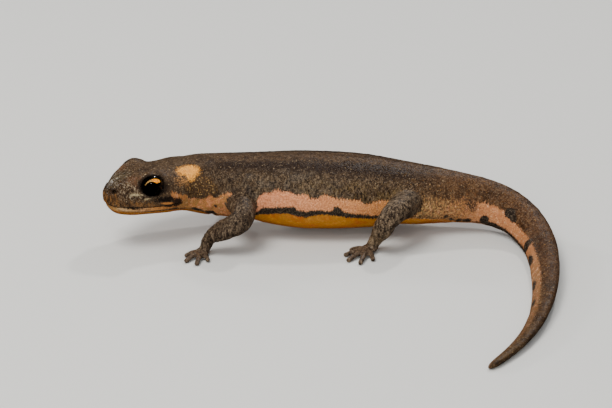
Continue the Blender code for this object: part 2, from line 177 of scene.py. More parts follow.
# %% [markdown]
# On the real animal the skin is one bag without a seam, while the solids stand a little apart
# from one another. They could be joined with Boolean modifiers, but those keep the gaps. Casting
# them over works better, and it starts here with a copy of every flesh solid, all joined into one
# object. A ball in each eye socket keeps the skin closed over the eyes.

# %% Copies of the flesh solids
EYE_FORWARD, EYE_LEFT, EYE_UP = 3.65, 2.95, 1.7
LID_RADIUS = 2.24
LID_DEPTH = 0.3
SIDES = {"left": 1, "right": -1}


def gaze_of(side):
    """Where an eye looks, as a unit vector."""
    gaze = HEAD_LEFT * side + HEAD_UP * 0.3 + HEAD_FORWARD * 0.12
    return np.array(gaze.normalized())


def eye_centre(side):
    return head_point(EYE_FORWARD, side * EYE_LEFT, EYE_UP)


def make_active(obj):
    bpy.ops.object.select_all(action="DESELECT")
    obj.select_set(True)
    bpy.context.view_layer.objects.active = obj


def copy_of_nodes(names, title):
    """One new object from copies of CAD nodes, with each node's loose triangles merged."""
    copies = []
    for name in names:
        copy = bpy.data.objects.new(f"{title}_{name}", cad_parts[name].data.copy())
        bpy.context.scene.collection.objects.link(copy)
        copies.append(copy)
    bpy.ops.object.select_all(action="DESELECT")
    for copy in copies:
        copy.select_set(True)
    bpy.context.view_layer.objects.active = copies[0]
    bpy.ops.object.join()
    bpy.ops.object.mode_set(mode="EDIT")
    bpy.ops.mesh.select_all(action="SELECT")
    bpy.ops.mesh.remove_doubles(threshold=0.002 * MM)
    bpy.ops.mesh.normals_make_consistent(inside=False)
    bpy.ops.object.mode_set(mode="OBJECT")
    copies[0].name = title
    return copies[0]


FLESH = sorted(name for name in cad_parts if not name.startswith("eye"))
LIMBS = [name for name in FLESH if name.endswith(("_left", "_right"))]
PAWS = [name for name in LIMBS if name.startswith(("hand", "foot"))]
BODY = [name for name in FLESH if name not in LIMBS]
skin = copy_of_nodes(FLESH, "skin")
skin.data.materials.clear()
for side in SIDES.values():
    centre = eye_centre(side) - gaze_of(side) * LID_DEPTH
    bpy.ops.mesh.primitive_uv_sphere_add(
        segments=32, ring_count=20, radius=LID_RADIUS * MM, location=centre * MM
    )
    ball = bpy.context.active_object
    make_active(skin)
    ball.select_set(True)
    bpy.ops.object.join()
print("flesh solids copied:", len(FLESH), "with", len(skin.data.vertices), "vertices")

# %% [markdown]
# To run into each other, the copies are grown by a quarter of a millimetre, about as much as the
# gaps between them are wide. The Remesh modifier then casts one closed surface over them all, in
# even faces. A surface could also be drawn round them by hand, but this one follows the solids
# exactly. It is grown less at the paws, because otherwise the fingers would be webbed.

# %% One closed skin
GROWTH = 0.25
PAW_GROWTH = 0.06  # less, or the fingers would be webbed
WRIST_LOW, WRIST_HIGH = 1.2, 2.1  # heights between which a paw's growth becomes the leg's
SKIN_GRAIN = 0.16  # the side of a face


def apply_modifiers(obj):
    make_active(obj)
    for modifier in list(obj.modifiers):
        bpy.ops.object.modifier_apply(modifier=modifier.name)


def points_of(obj):
    """The vertices in millimetres, as rows of an array."""
    flat = np.empty(len(obj.data.vertices) * 3)
    obj.data.vertices.foreach_get("co", flat)
    return flat.reshape(-1, 3) / MM


def normals_of(obj):
    flat = np.empty(len(obj.data.vertices) * 3)
    obj.data.vertex_normals.foreach_get("vector", flat)
    return flat.reshape(-1, 3)


def set_points(obj, points):
    obj.data.vertices.foreach_set("co", (points * MM).ravel())
    obj.data.update()


def tree_of(names):
    """A search tree over the faces of some CAD nodes, in millimetres."""
    corners, faces = [], []
    for name in names:
        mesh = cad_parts[name].data
        first = len(corners)
        corners += [vertex.co / MM for vertex in mesh.vertices]
        faces += [[first + i for i in polygon.vertices] for polygon in mesh.polygons]
    return BVHTree.FromPolygons(corners, faces)


def distances_to(tree, points):
    return np.array([tree.find_nearest(Vector(point))[3] for point in points])


def ease(value, low, high):
    """0 at low, 1 at high, smooth in between."""
    share = np.clip((value - low) / (high - low), 0.0, 1.0)
    return share * share * (3 - 2 * share)


def bell(value, width):
    """1 where the value is nought, falling away on both sides over the width."""
    return np.exp(-((value / width) ** 2))


BODY_TREE = tree_of(BODY)
LIMB_TREE = tree_of(LIMBS)
PAW_TREE = tree_of(PAWS)


def growth_at(points):
    """How far the skin is grown at each point."""
    low = 1 - ease(points[:, 2], WRIST_LOW, WRIST_HIGH)
    paw = low * (1 - ease(distances_to(PAW_TREE, points), 0.3, 0.5))
    return GROWTH + (PAW_GROWTH - GROWTH) * paw


def grow(obj, times):
    """Moves the surface out along its normals, or in where times is negative."""
    points = points_of(obj)
    set_points(obj, points + normals_of(obj) * (times * growth_at(points))[:, None])


grow(skin, 1)
cast = skin.modifiers.new("cast", "REMESH")
cast.mode = "VOXEL"
cast.voxel_size = SKIN_GRAIN * MM
apply_modifiers(skin)
print("cast skin:", len(skin.data.polygons), "faces")


def keep_largest_shell(obj):
    """Deletes loose inner shells: everything that doesn't hang together with the largest."""
    parents = np.arange(len(obj.data.vertices))
    ends = np.empty(len(obj.data.edges) * 2, int)
    obj.data.edges.foreach_get("vertices", ends)
    ends = ends.reshape(-1, 2)
    while True:
        low = np.minimum(parents[ends[:, 0]], parents[ends[:, 1]])
        before = parents.copy()
        np.minimum.at(parents, ends[:, 0], low)
        np.minimum.at(parents, ends[:, 1], low)
        parents = parents[parents]
        if (parents == before).all():
            break
    names, sizes = np.unique(parents, return_counts=True)
    loose = parents != names[sizes.argmax()]
    if loose.any():
        make_active(obj)
        obj.data.vertices.foreach_set("select", loose)
        bpy.ops.object.mode_set(mode="EDIT")
        bpy.ops.mesh.select_mode(type="VERT")
        bpy.ops.object.mode_set(mode="OBJECT")
        obj.data.vertices.foreach_set("select", loose)
        bpy.ops.object.mode_set(mode="EDIT")
        bpy.ops.mesh.delete(type="VERT")
        bpy.ops.object.mode_set(mode="OBJECT")
    print("shells:", len(names), "kept", sizes.max(), "vertices")


keep_largest_shell(skin)

# %% [markdown]
# The surface now has to know where on the newt each point is. For every vertex the nearest point
# of the body's line gives how far back it is from the snout, and the angle round the body, from 0
# on the middle of the back to 180 under the belly, the same on both sides. Which points belong to
# a leg is told by how near they are to the leg solids and to the body solids. Painting such zones
# by hand as vertex groups would do too, but a new form would then need them painted anew.

# %% Where each point is
LINE_TREE = KDTree(len(LINE))
for index, row in enumerate(LINE):
    LINE_TREE.insert(Vector(row[:3]), index)
LINE_TREE.balance()


def body_places(points):
    """How far back from the snout each point is, its angle from the back's middle in degrees,
    its side (1 left, -1 right) and its distance from the body's line."""
    nearest = np.array([LINE_TREE.find(Vector(point))[1] for point in points])
    away = points - LINE[nearest, :3]
    back = LINE_ALONG[nearest] + (away * LINE_BACK[nearest]).sum(axis=1)
    left = (away * LINE_LEFT[nearest]).sum(axis=1)
    up = (away * LINE_UP[nearest]).sum(axis=1)
    angle = np.degrees(np.arctan2(np.abs(left), up))
    return back, angle, np.where(left >= 0, 1.0, -1.0), np.hypot(left, up)


def leg_share(points):
    """From 0 on the body to 1 on a leg."""
    return ease(distances_to(BODY_TREE, points) - distances_to(LIMB_TREE, points), -0.4, 0.9)


points = points_of(skin)
back = body_places(points)[0]
on_leg = leg_share(points)
on_paw = 1 - ease(distances_to(PAW_TREE, points), GROWTH + 0.05, GROWTH + 1.0)
print("points on the legs:", int((on_leg > 0.5).sum()), "of", len(points))

# %% [markdown]
# Smoothing takes away the flats that the solids' straight facets leave, but it also thins what is
# narrow. So each point is smoothed only as far as its part can bear: much on the trunk, little on
# the legs and the tail's end, and hardly at all on the fingers. A vertex group says how much. Round
# the roots of the legs it is smoothed fully, so that shoulders and hips flow into the flank.

# %% Smooth the skin and draw it in
SMOOTH_ROUNDS = 80
SMOOTH_REACH = 4.2 * SKIN_GRAIN  # of a full weight after all rounds, roughly
LEG_THICKNESS, PAW_THICKNESS = 1.9, 0.75
JOIN_REACH = 0.9  # how far round a leg's root the skin is smoothed fully
SMOOTH_SHARE = 0.13  # how much of a part's thickness smoothing may round off
BODY_THICKNESS = np.minimum(LINE[:, 3], (LINE[:, 4] + LINE[:, 5]) / 2)


def weigh(obj, name, weights):
    """A vertex group that holds a weight for each vertex."""
    group = obj.vertex_groups.new(name=name)
    for index, weight in enumerate(weights):
        group.add((index,), float(weight), "REPLACE")
    return name


thickness = np.interp(back, LINE_ALONG, BODY_THICKNESS)
thickness = thickness * (1 - on_leg) + LEG_THICKNESS * on_leg
thickness = thickness * (1 - on_paw) + PAW_THICKNESS * on_paw
softness = np.clip((SMOOTH_SHARE * thickness / SMOOTH_REACH) ** 2, 0.005, 1.0)
body_nearer = distances_to(BODY_TREE, points) - distances_to(LIMB_TREE, points)
softness = np.maximum(softness, bell(body_nearer, JOIN_REACH))
smooth = skin.modifiers.new("smooth", "SMOOTH")
smooth.factor = 0.5
smooth.iterations = SMOOTH_ROUNDS
smooth.vertex_group = weigh(skin, "softness", softness)
apply_modifiers(skin)
skin.vertex_groups.clear()
grow(skin, -1)
print("skin drawn in:", [round(float(x), 2) for x in points_of(skin).min(axis=0)])

# %% [markdown]
# The head is looked at from closest by, so its faces at the eyes, along the mouth and at the
# nostrils are divided once more before lids, lips and nostrils are worked into them. Dividing the
# whole skin would be simpler, but would make four times the faces. The mouth's line is that of
# the solids: a height for each place along the head.

# %% Finer faces on the head
HEAD_REACH = 13.0
MOUTH_LINE = ((-0.7, -1.25), (-0.3, -1.45), (1.2, -1.6), (4.5, -1.55), (8.0, -1.3), (12.0, -1.1))
MOUTH_END = -0.6
NOSTRIL = (8.9, 1.45, 1.1)  # forward, left and up on the head
DETAIL_REACH = 0.6  # how far round lids, mouth and nostrils the faces are divided
LID_ANGLE_ENDS, LID_ANGLE_ABOVE, LID_ANGLE_BELOW = 72.0, 56.0, 51.0


def head_places(points):
    """Points in the head's own axes: forward, left and up, as three arrays."""
    away = points - head_point(0, 0, 0)
    axes = np.array((HEAD_FORWARD, HEAD_LEFT, HEAD_UP)).T
    return (away @ axes).T


def above_mouth(points):
    """How far each point of the head is above the line of the mouth."""
    forward, _, up = head_places(points)
    line_forward, line_up = np.array(MOUTH_LINE).T
    return up - np.interp(forward, line_forward, line_up), forward


def eye_axes(side):
    """Ahead, above and outwards, for the eye on one side."""
    gaze = gaze_of(side)
    above = np.array(HEAD_UP) - gaze * np.dot(np.array(HEAD_UP), gaze)
    above = above / np.linalg.norm(above)
    ahead = np.cross(gaze, above) * side
    return ahead, above, gaze


def round_eye(points, side):
    """Round an eye: the angle off its gaze in degrees, the direction as a unit vector in the
    plane across the gaze, the distance from its centre, and the angle at which the lid ends."""
    away = points - eye_centre(side)
    ahead, above, gaze = eye_axes(side)
    across, upward, outward = away @ ahead, away @ above, away @ gaze
    flat = np.maximum(np.hypot(across, upward), 1e-6)
    off = np.degrees(np.arctan2(flat, outward))
    across, upward = across / flat, upward / flat
    top = np.where(upward > 0, LID_ANGLE_ABOVE, LID_ANGLE_BELOW)
    edge = LID_ANGLE_ENDS + (top - LID_ANGLE_ENDS) * upward**2
    return off, across, upward, np.linalg.norm(away, axis=1), edge


def near_detail(points, reach):
    """True near the lids' edges, the mouth and the nostrils."""
    above, forward = above_mouth(points)
    near = (np.abs(above) < reach) & (forward > MOUTH_END - 0.3)
    for side in SIDES.values():
        off, _, _, distance, edge = round_eye(points, side)
        near |= (np.abs(np.radians(off - edge) * distance) < reach) & (distance < 2.8)
        nostril = head_point(NOSTRIL[0], side * NOSTRIL[1], NOSTRIL[2])
        near |= np.linalg.norm(points - nostril, axis=1) < reach + 0.2
    return near


def select_faces(obj, chosen):
    """Selects faces, by a row of true and false."""
    make_active(obj)
    bpy.ops.object.mode_set(mode="EDIT")
    bpy.ops.mesh.select_mode(type="FACE")
    bpy.ops.mesh.select_all(action="DESELECT")
    bpy.ops.object.mode_set(mode="OBJECT")
    obj.data.polygons.foreach_set("select", chosen)


def face_centres(obj):
    flat = np.empty(len(obj.data.polygons) * 3)
    obj.data.polygons.foreach_get("center", flat)
    return flat.reshape(-1, 3) / MM


def divide_faces(obj, chosen):
    select_faces(obj, chosen)
    bpy.ops.object.mode_set(mode="EDIT")
    bpy.ops.mesh.subdivide(number_cuts=1, smoothness=0.0)
    bpy.ops.object.mode_set(mode="OBJECT")


centres = face_centres(skin)
divide_faces(skin, (body_places(centres)[0] < HEAD_REACH) & near_detail(centres, DETAIL_REACH))


def triangles_of(obj):
    return sum(len(polygon.vertices) - 2 for polygon in obj.data.polygons)


print("skin with a finer head:", triangles_of(skin), "triangles")
skin.data.shade_smooth()

# %% [markdown]
# A newt's lids are a firm rim of skin round the eye. They could be rings of their own, but would
# show a seam. So the skin itself is shaped: points inside the opening are pushed in behind the
# eyeball, and those next to its edge are slid onto the edge, so that it runs as one clean curve
# and not in steps. Outside it the rim rolls up over the eyeball, and a shallow fold sets it off
# from the cheek and the brow.

# %% Lids
EYE_RADIUS = 1.86
LID_RIM = 1.95
BEHIND_EYE = 1.45
SNAP = 0.05  # how near to an edge a point is slid onto it
LID_REACH, LID_REACH_ANGLE = 3.4, 120  # how far from the eye's centre and gaze the lids go
SNAP_REACH = 2.6
RIM_WIDTH = 0.38
LID_FOLD = (0.62, 0.16, 0.05)  # how far out from the lid's edge, width, depth
BROW = (1.0, 0.35, 0.07)  # the same, with its height


def shape_lids(obj, side):
    points = points_of(obj)
    ahead, above, gaze = eye_axes(side)
    off, across, upward, distance, edge = round_eye(points, side)
    out = np.radians(off - edge) * distance
    near = (distance < LID_REACH) & (off < LID_REACH_ANGLE)
    snapped = near & (np.abs(out) < SNAP) & (distance < SNAP_REACH)
    off = np.where(snapped, edge, off)
    out = np.where(snapped, 0.0, out)
    inside = near & (out < 0) & (distance > BEHIND_EYE - 0.2)
    rim = ease(out, 0.0, RIM_WIDTH)
    place, wide, deep = LID_FOLD
    fold = bell(out - place, wide) * (deep + deep * np.clip(upward, -0.4, 1))
    place, wide, high = BROW
    brow = bell(out - place, wide) * high * np.clip(upward, 0, 1)
    rolled = LID_RIM + (distance - LID_RIM) * rim - fold + brow
    distance = np.where(inside, BEHIND_EYE, np.where(near & (out >= 0), rolled, distance))
    flat = np.sin(np.radians(off)) * distance
    outward = np.cos(np.radians(off)) * distance
    moved = eye_centre(side) + (
        np.outer(flat * across, ahead) + np.outer(flat * upward, above) + np.outer(outward, gaze)
    )
    points[near] = moved[near]
    set_points(obj, points)
    return int(snapped.sum())


for name, side in SIDES.items():
    print(name, "lid edge:", shape_lids(skin, side), "points")

# %% [markdown]
# The mouth is a fine line that rises at its corner, with the upper lip a little over the lower.
# It is a groove: points on the line are drawn in, and those beside it stay, so its edges are crisp.
# A Boolean cut would be crisper still, but would leave ragged faces that can't be smoothed. The
# nostrils are small pits with a raised rim, on the sides of the snout's tip.

# %% Mouth and nostrils
MOUTH_DEPTH, MOUTH_WIDTH = 0.2, 0.075
LIP_ROLL = 0.06
UPPER_LIP, LOWER_LIP = (0.28, 0.2), (0.3, 0.3)  # distance from the mouth's line, width
NOSTRIL_RADIUS = 0.22
NOSTRIL_DEPTH = 0.5
NOSTRIL_RIM = (1.45, 0.12, 0.05)  # its distance from the middle in radii, width, height
NOSTRIL_SEARCH, NOSTRIL_REACH = 1.6, 1.2


def shape_mouth(obj):
    points, normals = points_of(obj), normals_of(obj)
    above, forward = above_mouth(points)
    share = ease(forward, MOUTH_END, 0.5) * (forward > MOUTH_END)
    share = share * (body_places(points)[0] < HEAD_REACH)
    on_line = (np.abs(above) < SNAP) & (share > 0)
    points[on_line] -= np.outer(above[on_line], np.array(HEAD_UP))
    above = np.where(on_line, 0.0, above)
    groove = -MOUTH_DEPTH * bell(above, MOUTH_WIDTH)
    upper = LIP_ROLL * bell(above - UPPER_LIP[0], UPPER_LIP[1]) * (above > 0)
    lower = -LIP_ROLL * bell(above + LOWER_LIP[0], LOWER_LIP[1]) * (above < 0)
    points += normals * ((groove + upper + lower) * share)[:, None]
    set_points(obj, points)
    return int(on_line.sum())


def shape_nostril(obj, side):
    points = points_of(obj)
    place = head_point(NOSTRIL[0], side * NOSTRIL[1], NOSTRIL[2])
    outward = np.array((HEAD_LEFT * side * 0.8 + HEAD_FORWARD + HEAD_UP * 0.3).normalized())
    away = points - place
    along = away @ outward
    near = np.linalg.norm(away, axis=1) < NOSTRIL_SEARCH
    apart = np.linalg.norm(away[near] - np.outer(along[near], outward), axis=1)
    middle = points[near][np.argmin(apart)]
    away = points - middle
    along = away @ outward
    apart = np.linalg.norm(away - np.outer(along, outward), axis=1)
    near = np.linalg.norm(away, axis=1) < NOSTRIL_REACH
    pit = -NOSTRIL_DEPTH * ease(apart, NOSTRIL_RADIUS, 0.6 * NOSTRIL_RADIUS)
    radii, wide, high = NOSTRIL_RIM
    rim = high * bell(apart - radii * NOSTRIL_RADIUS, wide)
    points[near] += np.outer((pit + rim)[near], outward)
    set_points(obj, points)


print("mouth line:", shape_mouth(skin), "points")
for side in SIDES.values():
    shape_nostril(skin, side)

# %% [markdown]
# The rest of the form is low relief: the gland behind the eye, the fold across the throat, the
# faint grooves that the ribs leave between fore and hind legs, the ridges from the eyes to the
# nostrils and the slope beside them, a low ridge along the back, faint rings round the tail, the
# creases of the joints, the vent, and the warts that make land skin rough. Each could be sculpted
# by hand; here each is a height above the skin, worked out from the place on the body, and all
# are added up and applied along the normals at once.

# %% Relief of the body
GLAND = (14.4, 76.0, 3.0, 1.5, 0.22)  # back, angle, half length, half width, height
THROAT_FOLD, FOLD_WIDTH, FOLD_DEPTH = 17.6, 0.3, 0.16
FOLD_ROLL = (0.7, 0.45, 0.08)  # how far behind the fold its roll lies, width, height
RIB_FIRST, RIB_LAST, RIB_COUNT = 23.5, 45.5, 13
RIB_WIDTH, RIB_DEPTH = 0.13, 0.05  # the width as a share of the ribs' spacing
BACK_RIDGE_WIDTH, BACK_RIDGE_HEIGHT = 0.5, 0.1
VENT_START, VENT_END = 50.2, 53.0
VENT_WIDTH, VENT_HEIGHT = 1.5, 0.3
SLIT_WIDTH, SLIT_DEPTH = 0.16, 0.22
TAIL_RING, RING_DEPTH = 1.9, 0.035  # the distance between the faint rings of the tail
CREASE_REACH, CREASE_DEPTH = 1.2, 0.06
BROAD_NOISE, BROAD_HEIGHT = 0.9, 0.035
WART_NOISE, WART_HEIGHT = 2.6, 0.05
SNOUT_RIDGE = ((5.8, 2.5, 2.7), (8.7, 1.35, 1.55))  # its ends: forward, left and up on the head
RIDGE_HEIGHTS, RIDGE_WIDTH = (0.46, 0.1), 0.7
SNOUT_SLOPE = (1.4, 48.0, 1.2, 25.0, 0.36)  # back, angle, their reaches, depth
UPPER_TREE = tree_of([name for name in LIMBS if name.startswith(("upper_arm", "thigh"))])
LOWER_TREE = tree_of([name for name in LIMBS if name.startswith(("forearm", "shin"))])


def relief(points):
    """The height of all the relief but the warts, above or below the skin at each point."""
    back, angle, _, radius = body_places(points)
    on_leg = leg_share(points)
    round_way = np.radians(angle) * radius
    body = 1 - on_leg

    place, turn, long, wide, high = GLAND
    across = np.radians(angle - turn) * radius
    height = high * np.exp(-(((back - place) / long) ** 4) - (across / wide) ** 4) * body

    throat = ease(angle, 75, 115) * body
    height -= FOLD_DEPTH * bell(back - THROAT_FOLD, FOLD_WIDTH) * throat
    behind, wide, high = FOLD_ROLL
    height += high * bell(back - THROAT_FOLD - behind, wide) * throat

    spacing = (RIB_LAST - RIB_FIRST) / RIB_COUNT
    phase = (back - RIB_FIRST) / spacing + 0.15 * np.sin(angle / 20)
    groove = bell(phase - np.round(phase), RIB_WIDTH)
    flank = ease(angle, 40, 65) * (1 - ease(angle, 105, 130)) * ease(back, 22, 24)
    height -= RIB_DEPTH * groove * flank * (1 - ease(back, 45, 47)) * body

    for side in SIDES.values():
        start, end = (head_point(f, side * left, up) for f, left, up in SNOUT_RIDGE)
        share = np.clip((points - start) @ (end - start) / ((end - start) @ (end - start)), 0, 1)
        apart = np.linalg.norm(points - start - np.outer(share, end - start), axis=1)
        height += np.interp(share, (0, 1), RIDGE_HEIGHTS) * bell(apart, RIDGE_WIDTH)

    place, turn, long, wide, deep = SNOUT_SLOPE
    height -= deep * np.exp(-(((back - place) / long) ** 2) - ((angle - turn) / wide) ** 2)

    ridge = ease(back, 14, 20) * (1 - ease(back, 100, 106))
    height += BACK_RIDGE_HEIGHT * bell(round_way, BACK_RIDGE_WIDTH) * ridge * body

    ring = np.cos(2 * np.pi * back / TAIL_RING + 0.6 * np.sin(angle / 18))
    tail = ease(back, 54, 60) * (1 - ease(back, 98, 106)) * ease(angle, 15, 40)
    height -= RING_DEPTH * np.clip(ring, 0, 1) ** 6 * tail * body

    upper, lower = distances_to(UPPER_TREE, points), distances_to(LOWER_TREE, points)
    paw = distances_to(PAW_TREE, points)
    for gap in (upper - lower, lower - paw):
        crease = bell(gap - 0.25, 0.16) + 0.7 * bell(gap + 0.45, 0.14)
        height -= CREASE_DEPTH * crease * on_leg * (lower < CREASE_REACH)

    under = np.radians(180 - angle) * radius
    vent = ease(back, VENT_START - 1, VENT_START + 1) * (1 - ease(back, VENT_END, VENT_END + 1.5))
    height += VENT_HEIGHT * bell(under, VENT_WIDTH) * vent * body
    slit = ease(back, VENT_START + 0.4, VENT_START + 0.9) * (1 - ease(back, VENT_END - 0.6, VENT_END))
    height -= SLIT_DEPTH * bell(under, SLIT_WIDTH) * slit * body
    return height


def warts(points):
    """Roughness: broad unevenness, and low round warts, from noise read at each point."""
    heights = np.empty(len(points))
    for index, point in enumerate(points):
        place = Vector(point)
        broad = noise.noise(place * BROAD_NOISE)
        fine = noise.noise(place * WART_NOISE + Vector((7.0, 3.0, 1.0)))
        heights[index] = BROAD_HEIGHT * broad + WART_HEIGHT * max(fine, 0.0)
    return heights


def rough_share(points):
    """How warty the skin is: fully on the back and legs, little on the belly and lips."""
    back, angle, _, _ = body_places(points)
    belly = ease(angle, 95, 125) * (1 - leg_share(points))
    snout = 1 - ease(back, 1.0, 4.0)
    lips = bell(above_mouth(points)[0], 0.5) * (back < HEAD_REACH)
    share = (1 - 0.75 * belly) * (1 - 0.6 * snout) * (1 - 0.8 * lips)
    for side in SIDES.values():
        off, _, _, distance, edge = round_eye(points, side)
        share = share * ease(np.radians(off - edge) * distance + 10 * (distance > LID_REACH), 0.0, 0.6)
    return share


points, normals = points_of(skin), normals_of(skin)
height = relief(points) + warts(points) * rough_share(points)
points += normals * height[:, None]
points = np.clip(points, *(np.array(corner) / MM for corner in solids_box))
points[:, 2] = np.maximum(points[:, 2], 0.0)
set_points(skin, points)
print("relief from", round(height.min(), 2), "to", round(height.max(), 2), "mm")

# %% [markdown]
# The skin now has its whole form, in about twice as many faces as it needs. They are thinned out
# on the trunk, the legs and the tail, where the pattern is coarser, and the head and paws keep
# theirs. A coarser cast would have as few faces, but would blur the relief. Done last, the
# Decimate modifier keeps it, because only faces that hardly change the shape go.

# %% Fewer faces on the trunk
TRIANGLE_GOAL = 188000
back = body_places(points)[0]
on_leg = leg_share(points)
on_paw = 1 - ease(distances_to(PAW_TREE, points), 0.1, 0.8)
keep = np.maximum((1 - ease(back, HEAD_REACH, HEAD_REACH + 3)) * (1 - on_leg), on_paw)
thin = skin.modifiers.new("thin out", "DECIMATE")
thin.ratio = TRIANGLE_GOAL / triangles_of(skin)
thin.vertex_group = weigh(skin, "thinned", np.clip(1 - keep, 0.0, 1.0))
apply_modifiers(skin)
skin.vertex_groups.clear()
skin.data.shade_smooth()
print("thinned skin:", triangles_of(skin), "triangles")

# %% [markdown]
# Now the markings. A banded newt on land is brown and rough above, has a pale band along the
# flank with a black lower border, an orange belly, and a band that runs on along the tail. Black
# spots, the neck's pale and tan patches, and the snout's and lips' own patches are oval blots, and
# so are a painted sheen on the snout's top and a painted highlight along two folds before the eye.
# Each edge is kept on the skin's points as a distance in millimetres, above zero inside the mark.
# The material adds noise to it before it cuts, which gives edges as ragged as the real ones.
# Painting on an unwrapped image would be the other way, but it would need a painter's hand.

# %% Places of the markings
# For each place back from the snout: the angles of the band's upper and lower edge, and of the
# lower edge of its black border.
BAND_ROWS = (
    (8.8, 80, 86, 86), (9.8, 86, 118, 118), (10.4, 91, 126, 126), (12.6, 99, 129, 129),
    (14.1, 101, 131, 131), (15.7, 98, 126, 126), (16.3, 91, 128, 128), (16.9, 86, 129, 129),
    (17.4, 93, 130, 130), (18.2, 93, 131, 131), (18.8, 85, 132, 132), (20.2, 80, 132, 132),
    (21.5, 92, 124, 126), (22.9, 100, 116, 125), (23.8, 100, 112, 123), (24.6, 81, 109, 117),
    (25.1, 77, 101, 115), (26.3, 74, 99, 110), (26.8, 69, 98, 108), (27.4, 69, 96, 107),
    (27.8, 73, 96, 106), (28.3, 70, 95, 105), (29.0, 71, 94, 103), (29.9, 74, 92, 106),
    (30.2, 75, 97, 107), (31.6, 73, 99, 109), (32.1, 79, 97, 106), (33.5, 78, 96, 103),
    (33.8, 74, 97, 103), (34.3, 73, 97, 103), (35.4, 76, 97, 103), (35.8, 77, 90, 104),
    (36.3, 78, 90, 105), (37.3, 79, 99, 107), (39.5, 80, 103, 110), (39.9, 85, 103, 110),
    (41.2, 85, 106, 112), (41.8, 81, 106, 112), (43.5, 80, 108, 115), (47.0, 82, 117, 120),
    (50.0, 80, 123, 125), (52.0, 83, 133, 135), (53.6, 80, 142, 144), (55.5, 77, 150, 152),
    (56.6, 76, 154, 157), (58.7, 80, 152, 162), (61.1, 87, 152, 172), (62.5, 94, 154, 174),
    (63.5, 104, 158, 176), (64.5, 112, 160, 178), (67.2, 114, 160, 178), (71.0, 112, 161, 174),
    (75.0, 109, 168, 172), (79.0, 101, 174, 174), (88.0, 84, 178, 178), (94.0, 68, 180, 180),
    (107.0, 55, 180, 180),
)
BELLY_ROWS = (
    (0, 140), (3, 131), (9, 126), (12, 133), (20, 134), (23, 124), (25, 114), (28, 104), (31, 106),
    (34, 101), (37, 104), (43, 113), (48, 120), (52, 134), (55, 148), (60, 168),
)
BELLY_END = 62.0
# The oval blots of each kind: back, angle, half length, half width, turn in degrees.
BLOTS = {
    "black": (
        (14.8, 128, 0.85, 0.42, 6), (17.4, 133, 1.0, 0.6, 12), (18.0, 110, 0.3, 0.3, 0),
        (52.8, 126, 0.34, 0.4, 0), (53.8, 137, 0.38, 0.45, 0), (54.9, 146, 0.5, 0.6, 10),
        (56.2, 147, 0.75, 0.6, 12), (59.4, 142, 0.95, 0.95, 20), (61.2, 156, 1.1, 0.5, 0),
        (63.8, 92, 1.0, 0.85, 0), (64.8, 102, 1.0, 0.65, 20), (72.1, 140, 0.95, 1.25, 0),
        (76.3, 150, 1.35, 0.6, 0), (84.2, 147, 1.25, 0.5, 0), (89.9, 134, 0.85, 0.42, 0),
        (30.0, 163, 0.6, 0.4, 20), (37.5, 158, 0.5, 0.35, -20), (42.5, 166, 0.45, 0.3, 0),
        (26.5, 152, 0.45, 0.3, 10), (11.0, 150, 0.5, 0.3, 0), (6.0, 148, 0.4, 0.25, 0),
    ),
    "pale": ((13.1, 43, 1.45, 1.0, 0), (12.8, 55, 1.0, 0.85, 0), (11.7, 45, 1.1, 0.75, 15)),
    "tan": ((11.0, 64, 1.1, 0.8, 20),),
    "mottle": ((56.6, 89, 1.25, 0.9, 32),),
    "gland": ((14.3, 74, 3.6, 1.8, 0),),
    "lip": (
        (7.9, 95, 1.7, 0.45, 4), (9.7, 106, 0.75, 0.85, 0), (8.9, 112, 0.9, 0.3, 0),
        (3.4, 117, 1.2, 0.3, 0),
    ),
    "streak": ((8.2, 104, 1.0, 0.18, 6),),
    "snout": ((0.5, 108, 1.2, 1.0, 0), (4.4, 104, 3.2, 0.4, 0)),
    "grey": ((2.6, 66, 1.5, 1.3, 20), (4.4, 84, 1.5, 0.7, 10)),
    "tip": ((0.6, 54, 0.8, 0.95, 0),),
    "sheen": ((2.1, 0, 1.9, 1.05, 0),),
    "red": ((3.7, 44, 0.8, 0.9, 0),),
    "pale_lip": ((2.0, 122, 0.7, 0.3, 0),),
    # fold: pale lines, a painted highlight along two wet folds before the eye
    "fold": ((3.5, 76, 0.75, 0.17, 10), (5.1, 89, 0.42, 0.14, -20)),
}
FAR_SIDE_SHIFT = 14.0  # degrees by which the right side's neck patch lies lower
FIELD_LIMIT = 3.0
EYE_FIELD_REACH = 4.5


def blots(back, angle, radius, rows):
    """How far inside the nearest of some oval blots each point is."""
    best = np.full(len(back), -FIELD_LIMIT)
    for place, turn, long, wide, tilt in rows:
        along = back - place
        across = np.radians(angle - turn) * radius
        tilt = math.radians(tilt)
        x = along * math.cos(tilt) + across * math.sin(tilt)
        y = across * math.cos(tilt) - along * math.sin(tilt)
        best = np.maximum(best, (1 - np.hypot(x / long, y / wide)) * min(long, wide))
    return best


def between(angle, low, high, radius):
    """How far inside a strip between two angles each point is."""
    return np.radians(np.minimum(angle - low, high - angle)) * radius


def eye_distance(points):
    """How far each point is from the nearer eye's lid edge."""
    nearest = np.full(len(points), FIELD_LIMIT)
    for side in SIDES.values():
        off, _, _, distance, edge = round_eye(points, side)
        away = np.where(distance < EYE_FIELD_REACH, np.radians(off - edge) * distance, FIELD_LIMIT)
        nearest = np.minimum(nearest, away)
    return nearest


